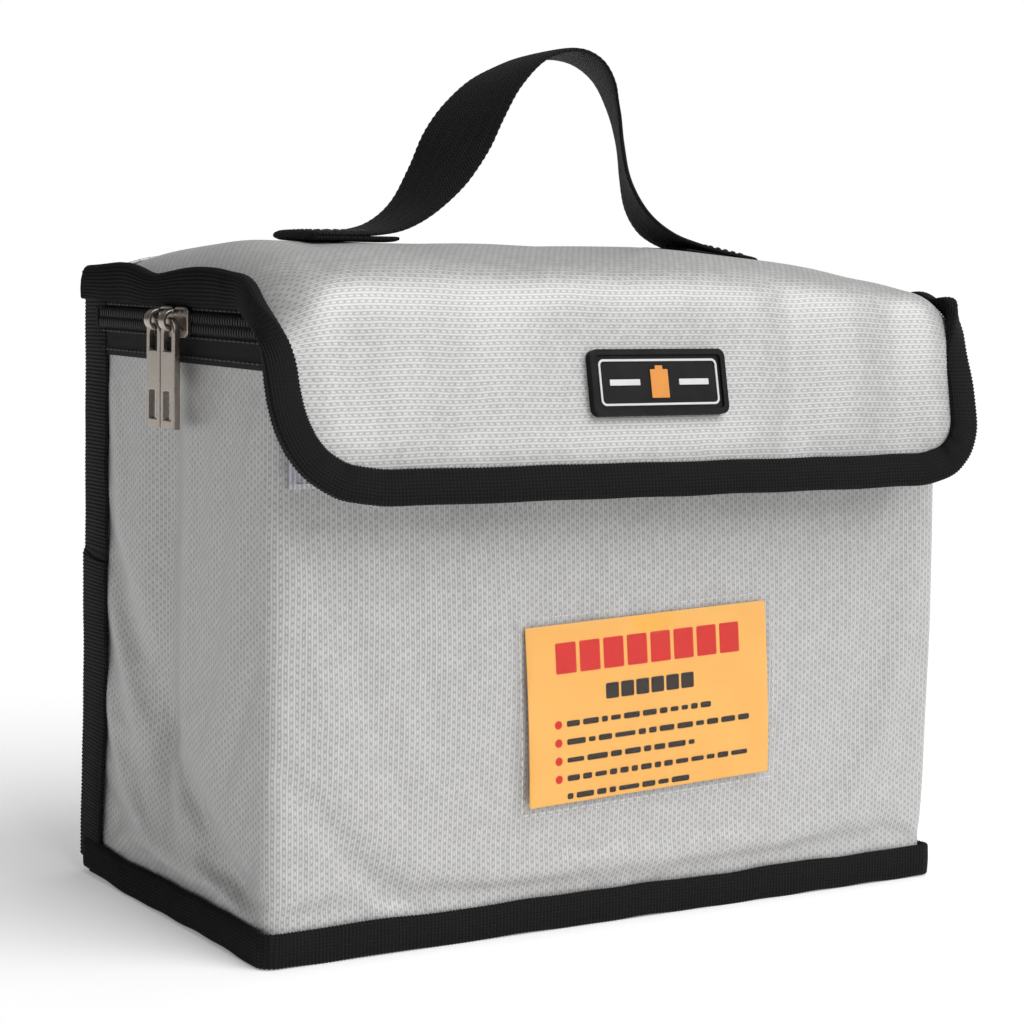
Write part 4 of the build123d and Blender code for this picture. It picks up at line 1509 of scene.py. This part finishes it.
def crooked(x, z):
    """Turns front positions about the card's middle by the tilt."""
    dx, dz = x - CARD_MIDDLE[0], z - CARD_MIDDLE[2]
    c, t = math.cos(CARD_TILT), math.sin(CARD_TILT)
    return CARD_MIDDLE[0] + dx * c - dz * t, CARD_MIDDLE[2] + dx * t + dz * c


def front_patch(name, x0, x1, z0, z1, out, thickness, cols=24, rows=24, keep=None, ripple=0.0, seed=1):
    """A thin patch on the body's front, standing out from it by out(x, z)."""
    x, z = np.meshgrid(np.linspace(x0, x1, cols), np.linspace(z0, z1, rows), indexing="ij")
    tx, tz = crooked(x, z)
    y = front_plane(tx, tz) - out(x, z) - ripple * soft_noise(x, z, 22, seed)
    points = np.stack([tx, y, tz], -1)
    piece = grid_object(name, points, np.stack([x, z], -1))
    if keep is not None:
        mesh = bmesh.new()
        mesh.from_mesh(piece.data)
        middles = [f.calc_center_median() / MM for f in mesh.faces]
        gone = [f for f, at in zip(mesh.faces, middles) if not keep(at.x, at.z)]
        bmesh.ops.delete(mesh, geom=gone, context="FACES")
        mesh.to_mesh(piece.data)
        mesh.free()
    solidify(piece, thickness)
    return piece


def front_run(x, y, z):
    """A run of stitches on the front, with its outward directions."""
    return np.stack([x, y, z], -1), np.repeat([(0, -1.0, 0)], len(x), 0)


def make_pocket():
    """The clear pocket, open at its top with a thumb notch, and sewn on its three other sides."""
    x0, x1, z0, z1 = pocket_low[0], pocket_high[0], pocket_low[2], pocket_high[2]
    middle = (x0 + x1) / 2
    notch = 8.0

    def out(x, z):
        edge = np.minimum(np.minimum(x - x0, x1 - x), z - z0)
        gape = smoothstep((z - z1 + 14) / 14) * smoothstep(edge / 12)
        return 0.35 + (VINYL_GAP - 0.35) * smoothstep((edge - 1.8) / 2.4) + gape

    notch_x, notch_z = crooked(middle, z1)

    def keep(x, z):
        return math.hypot(x - notch_x, z - notch_z) > notch

    vinyl = front_patch("pocket_vinyl", x0, x1, z0, z1, out, 0.25, 120, 78, keep, 0.18, 101)
    dress(vinyl, "clear_vinyl")
    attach(vinyl, "shell")
    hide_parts("window_pocket")
    runs = []
    left, right, low = x0 + 1.4, x1 - 1.4, z0 + 1.4
    sides = [((left, z1 - 1), (left, low)), ((left, low), (right, low)), ((right, low), (right, z1 - 1))]
    for (xa, za), (xb, zb) in sides:
        xs, zs = crooked(np.linspace(xa, xb, 30), np.linspace(za, zb, 30))
        runs.append(front_run(xs, front_plane(xs, zs) - 0.6, zs))
    make_stitches("stitch_pocket", runs, "shell", "white", radius=0.2, pitch=2.5, length=1.7)


def card_out(x, z):
    """The card stands more upright than the swelling panel behind it, so it leans away at its foot."""
    return 0.65 + (card_high[2] - z) / (card_high[2] - card_low[2]) + 0 * x


def make_card():
    """The card, bowed with the panel behind it, and its print: heading blocks and lines of word-like bars."""
    x0, x1, z0, z1 = card_low[0], card_high[0], card_low[2], card_high[2]
    card = front_patch("card_sheet", x0, x1, z0, z1, card_out, 0.3, 30, 20)
    mod = card.modifiers.new("Edge", "BEVEL")
    mod.width = 0.08 * MM
    mod.segments = 2
    apply_modifiers(card)
    dress(card, "card_yellow")
    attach(card, "card")
    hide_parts("info_card")
    rng = random.Random(12)
    middle, top = (x0 + x1) / 2, z1
    red, dark = [], []
    # Two headings of even blocks, in place of words.
    for k in range(8):
        red.append((middle - 30.0 + 7.6 * k, top - 9.0, 6.4, 8.2))
    for k in range(6):
        dark.append((middle - 14.5 + 4.9 * k, top - 19.2, 4.1, 4.2))
    for row, (length, bullet) in enumerate(((46, True), (60, True), (40, True), (56, True), (38, False))):
        z = top - 26.6 - 4.9 * row
        if bullet:
            red.append((x0 + 8.0, z, 2.3, 2.3))
        x = x0 + 11.8
        while x < x0 + 11.8 + length:
            width = rng.uniform(1.8, 6.6)
            dark.append((x, z, width, 1.55 if rng.random() < 0.75 else 1.25))
            x += width + 1.05
    print_blocks("card_print_red", "card_red_print", "print_red", red)
    print_blocks("card_print_dark", "card_dark_print", "print_dark", dark)


def block_outline(x, z, width, height):
    """A block's outline with rounded corners; square ones are round dots."""
    rounding = width / 2 if width == height else min(0.45, height / 3, width / 3)
    outline = []
    for start, (side, end) in enumerate(((1, 1), (-1, 1), (-1, -1), (1, -1))):
        for step in range(4):
            angle = math.pi / 2 * (start + step / 3)
            px = x + width / 2 + side * (width / 2 - rounding) + rounding * math.cos(angle)
            outline.append((px, z + end * (height / 2 - rounding) + rounding * math.sin(angle)))
    return outline


def print_blocks(name, node, slot, blocks):
    """One colour of the card's print, as thin blocks that follow the card."""
    verts, faces, uvs = [], [], []
    for block in blocks:
        outline = block_outline(*block)
        first, n = len(verts), len(outline)
        for lift in (0.02, 0.09):
            for px, pz in outline:
                tx, tz = crooked(px, pz)
                verts.append((tx, float(front_plane(tx, tz)) - card_out(px, pz) - lift, tz))
                uvs.append((px, pz))
        faces += [list(f + first) for f in grid_faces(2, n, False, True)[:, ::-1]]
        faces.append([first + n + i for i in range(n)])
        faces.append([first + i for i in range(n)][::-1])
    piece = make_object(name, verts, faces, uvs, smooth=False)
    dress(piece, slot)
    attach(piece, "card")
    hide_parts(node)


make_pocket()
make_card()


def make_strips():
    """The loop strip across the body's front and the hook strip inside the flap."""
    low, high = node_box("front_loop_strip")
    x, z = np.meshgrid(np.linspace(low[0], high[0], 150), np.linspace(low[2], high[2], 16), indexing="ij")
    y = np.array([[front_y(a, b) for a, b in zip(p, q)] for p, q in zip(x, z)]) - 1.3
    y -= 0.15 * np.sin(x * math.tau / 2.75) * (np.abs(z - z.mean()) < 9)
    strip = grid_object("strip_loop", np.stack([x, y, z], -1), np.stack([x, z], -1))
    solidify(strip, 1.2)
    dress(strip, "loop_strip")
    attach(strip, "shell")
    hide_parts("front_loop_strip")
    runs = []
    for sz in (low[2] + 1.2, high[2] - 1.2):
        xs = np.linspace(low[0] + 1, high[0] - 1, 80)
        ys = np.array([front_y(a, sz) for a in xs]) - 1.4
        runs.append(front_run(xs, ys, np.full_like(xs, sz)))
    make_stitches("stitch_loop_strip", runs, "shell", "white", radius=0.2, pitch=2.8, length=1.9)
    # The hook strip: laid out on the closed flap and turned out with it.
    half, z0, z1 = 95.0, 128.0, 143.0
    x, z = np.meshgrid(np.linspace(-half, half, 140), np.linspace(z0, z1, 14), indexing="ij")
    y, z2 = flap_point(FLAP_FACE_Y + FLAP_INSIDE + 0.35, z)
    hook = grid_object("strip_hook", np.stack([x, y, z2], -1), np.stack([x, z], -1))
    solidify(hook, 1.2)
    dress(hook, "loop_strip")
    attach(hook, "flap")
    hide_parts("flap_hook_strip")


make_strips()

# ---------------------------------------------------------------- hard parts kept from the frame


def finish_node(name, slot, bevel, segments=3):
    """Keeps a CAD node, with its edges eased and its own material."""
    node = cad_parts[name]
    weld = node.modifiers.new("Weld", "WELD")
    weld.merge_threshold = 0.02 * MM
    mod = node.modifiers.new("Ease", "BEVEL")
    mod.width = bevel * MM
    mod.segments = segments
    mod.limit_method = "ANGLE"
    mod.angle_limit = math.radians(35)
    mod.harden_normals = False
    node.data.materials.clear()
    node.data.materials.append(MATERIALS[slot])
    node.data.polygons.foreach_set("use_smooth", [True] * len(node.data.polygons))
    normal = node.modifiers.new("Normals", "WEIGHTED_NORMAL")
    normal.keep_sharp = True
    return node


for where in ("front", "rear"):
    finish_node("slider_" + where, "gunmetal", 0.18)
    finish_node("bail_" + where, "gunmetal", 0.3)
    finish_node("pull_" + where, "gunmetal", 0.3)
finish_node("badge", "badge_rubber", 0.25)
finish_node("badge_border", "badge_white", 0.08, 2)
finish_node("badge_emblem", "badge_amber", 0.1, 2)
finish_node("badge_bars", "badge_white", 0.1, 2)

# ---------------------------------------------------------------- camera, floor and lights

CAMERA_AT = (-384.40, -620.99, 179.64)
CAMERA_YAW = math.radians(31.680)
CAMERA_PITCH = math.radians(-5.773)
CAMERA_ROLL = math.radians(0.993)
LENS = 89.59


def make_camera():
    forward = Vector(
        (
            math.sin(CAMERA_YAW) * math.cos(CAMERA_PITCH),
            math.cos(CAMERA_YAW) * math.cos(CAMERA_PITCH),
            math.sin(CAMERA_PITCH),
        )
    )
    right = Vector((math.cos(CAMERA_YAW), -math.sin(CAMERA_YAW), 0))
    up = right.cross(forward)
    c, s = math.cos(CAMERA_ROLL), math.sin(CAMERA_ROLL)
    right, up = c * right + s * up, -s * right + c * up
    data = bpy.data.cameras.new("camera")
    data.lens = LENS
    data.sensor_width = 36.0
    data.clip_start = 0.01
    data.clip_end = 100.0
    camera = bpy.data.objects.new("camera", data)
    turn = Matrix((right, up, -forward)).transposed()
    camera.matrix_world = Matrix.Translation(Vector(CAMERA_AT) * MM) @ turn.to_4x4()
    bpy.context.scene.collection.objects.link(camera)
    bpy.context.scene.camera = camera


def sun_light(name, towards, strength, softness):
    """A distant soft lamp that shines from the direction towards."""
    data = bpy.data.lights.new(name, "SUN")
    data.energy = strength
    data.angle = math.radians(softness)
    lamp = bpy.data.objects.new(name, data)
    lamp.rotation_mode = "QUATERNION"
    lamp.rotation_quaternion = Vector(towards).to_track_quat("Z", "Y")
    bpy.context.scene.collection.objects.link(lamp)


def make_stage():
    """The lights, and a white floor that glows faintly, to meet the background without a line."""
    m = Nodes("floor")
    color = m.mix(m.noise(3.0, 2.0), rgb(0.93, 0.93, 0.93), rgb(0.96, 0.96, 0.96))
    m.shade(color=color, rough=0.9, spec=0.1, glow=WHITE, glow_strength=0.24)
    far = 9e3
    corners = [(-far, -far, 0), (far, -far, 0), (far, far, 0), (-far, far, 0)]
    floor = make_object("floor", corners, [(0, 1, 2, 3)])
    floor.data.materials.append(m.material)
    world = bpy.data.worlds.new("studio")
    world.use_nodes = True
    tree = world.node_tree
    soft = tree.nodes["Background"]
    soft.inputs[0].default_value = WHITE
    # The room is brighter on the bag's right than on its left.
    where = tree.nodes.new("ShaderNodeSeparateXYZ")
    tree.links.new(tree.nodes.new("ShaderNodeTexCoord").outputs["Generated"], where.inputs[0])
    bright = tree.nodes.new("ShaderNodeMapRange")
    for socket, value in zip(list(bright.inputs)[1:5], (-0.8, 0.8, 0.05, 0.48)):
        socket.default_value = value
    tree.links.new(where.outputs[0], bright.inputs[0])
    tree.links.new(bright.outputs[0], soft.inputs[1])
    seen = tree.nodes.new("ShaderNodeBackground")
    seen.inputs[0].default_value = WHITE
    path = tree.nodes.new("ShaderNodeLightPath")
    both = tree.nodes.new("ShaderNodeMixShader")
    tree.links.new(path.outputs["Is Camera Ray"], both.inputs[0])
    tree.links.new(soft.outputs[0], both.inputs[1])
    tree.links.new(seen.outputs[0], both.inputs[2])
    tree.links.new(both.outputs[0], tree.nodes["World Output"].inputs[0])
    bpy.context.scene.world = world
    sun_light("key", (0.35, -0.72, 0.80), 2.22, 55)
    sun_light("corner", (-0.85, -0.52, 0.12), 0.10, 9)
    sun_light("top", (0.1, -0.1, 1.0), 0.25, 50)
    bpy.context.scene.view_settings.view_transform = "Standard"


make_camera()
make_stage()
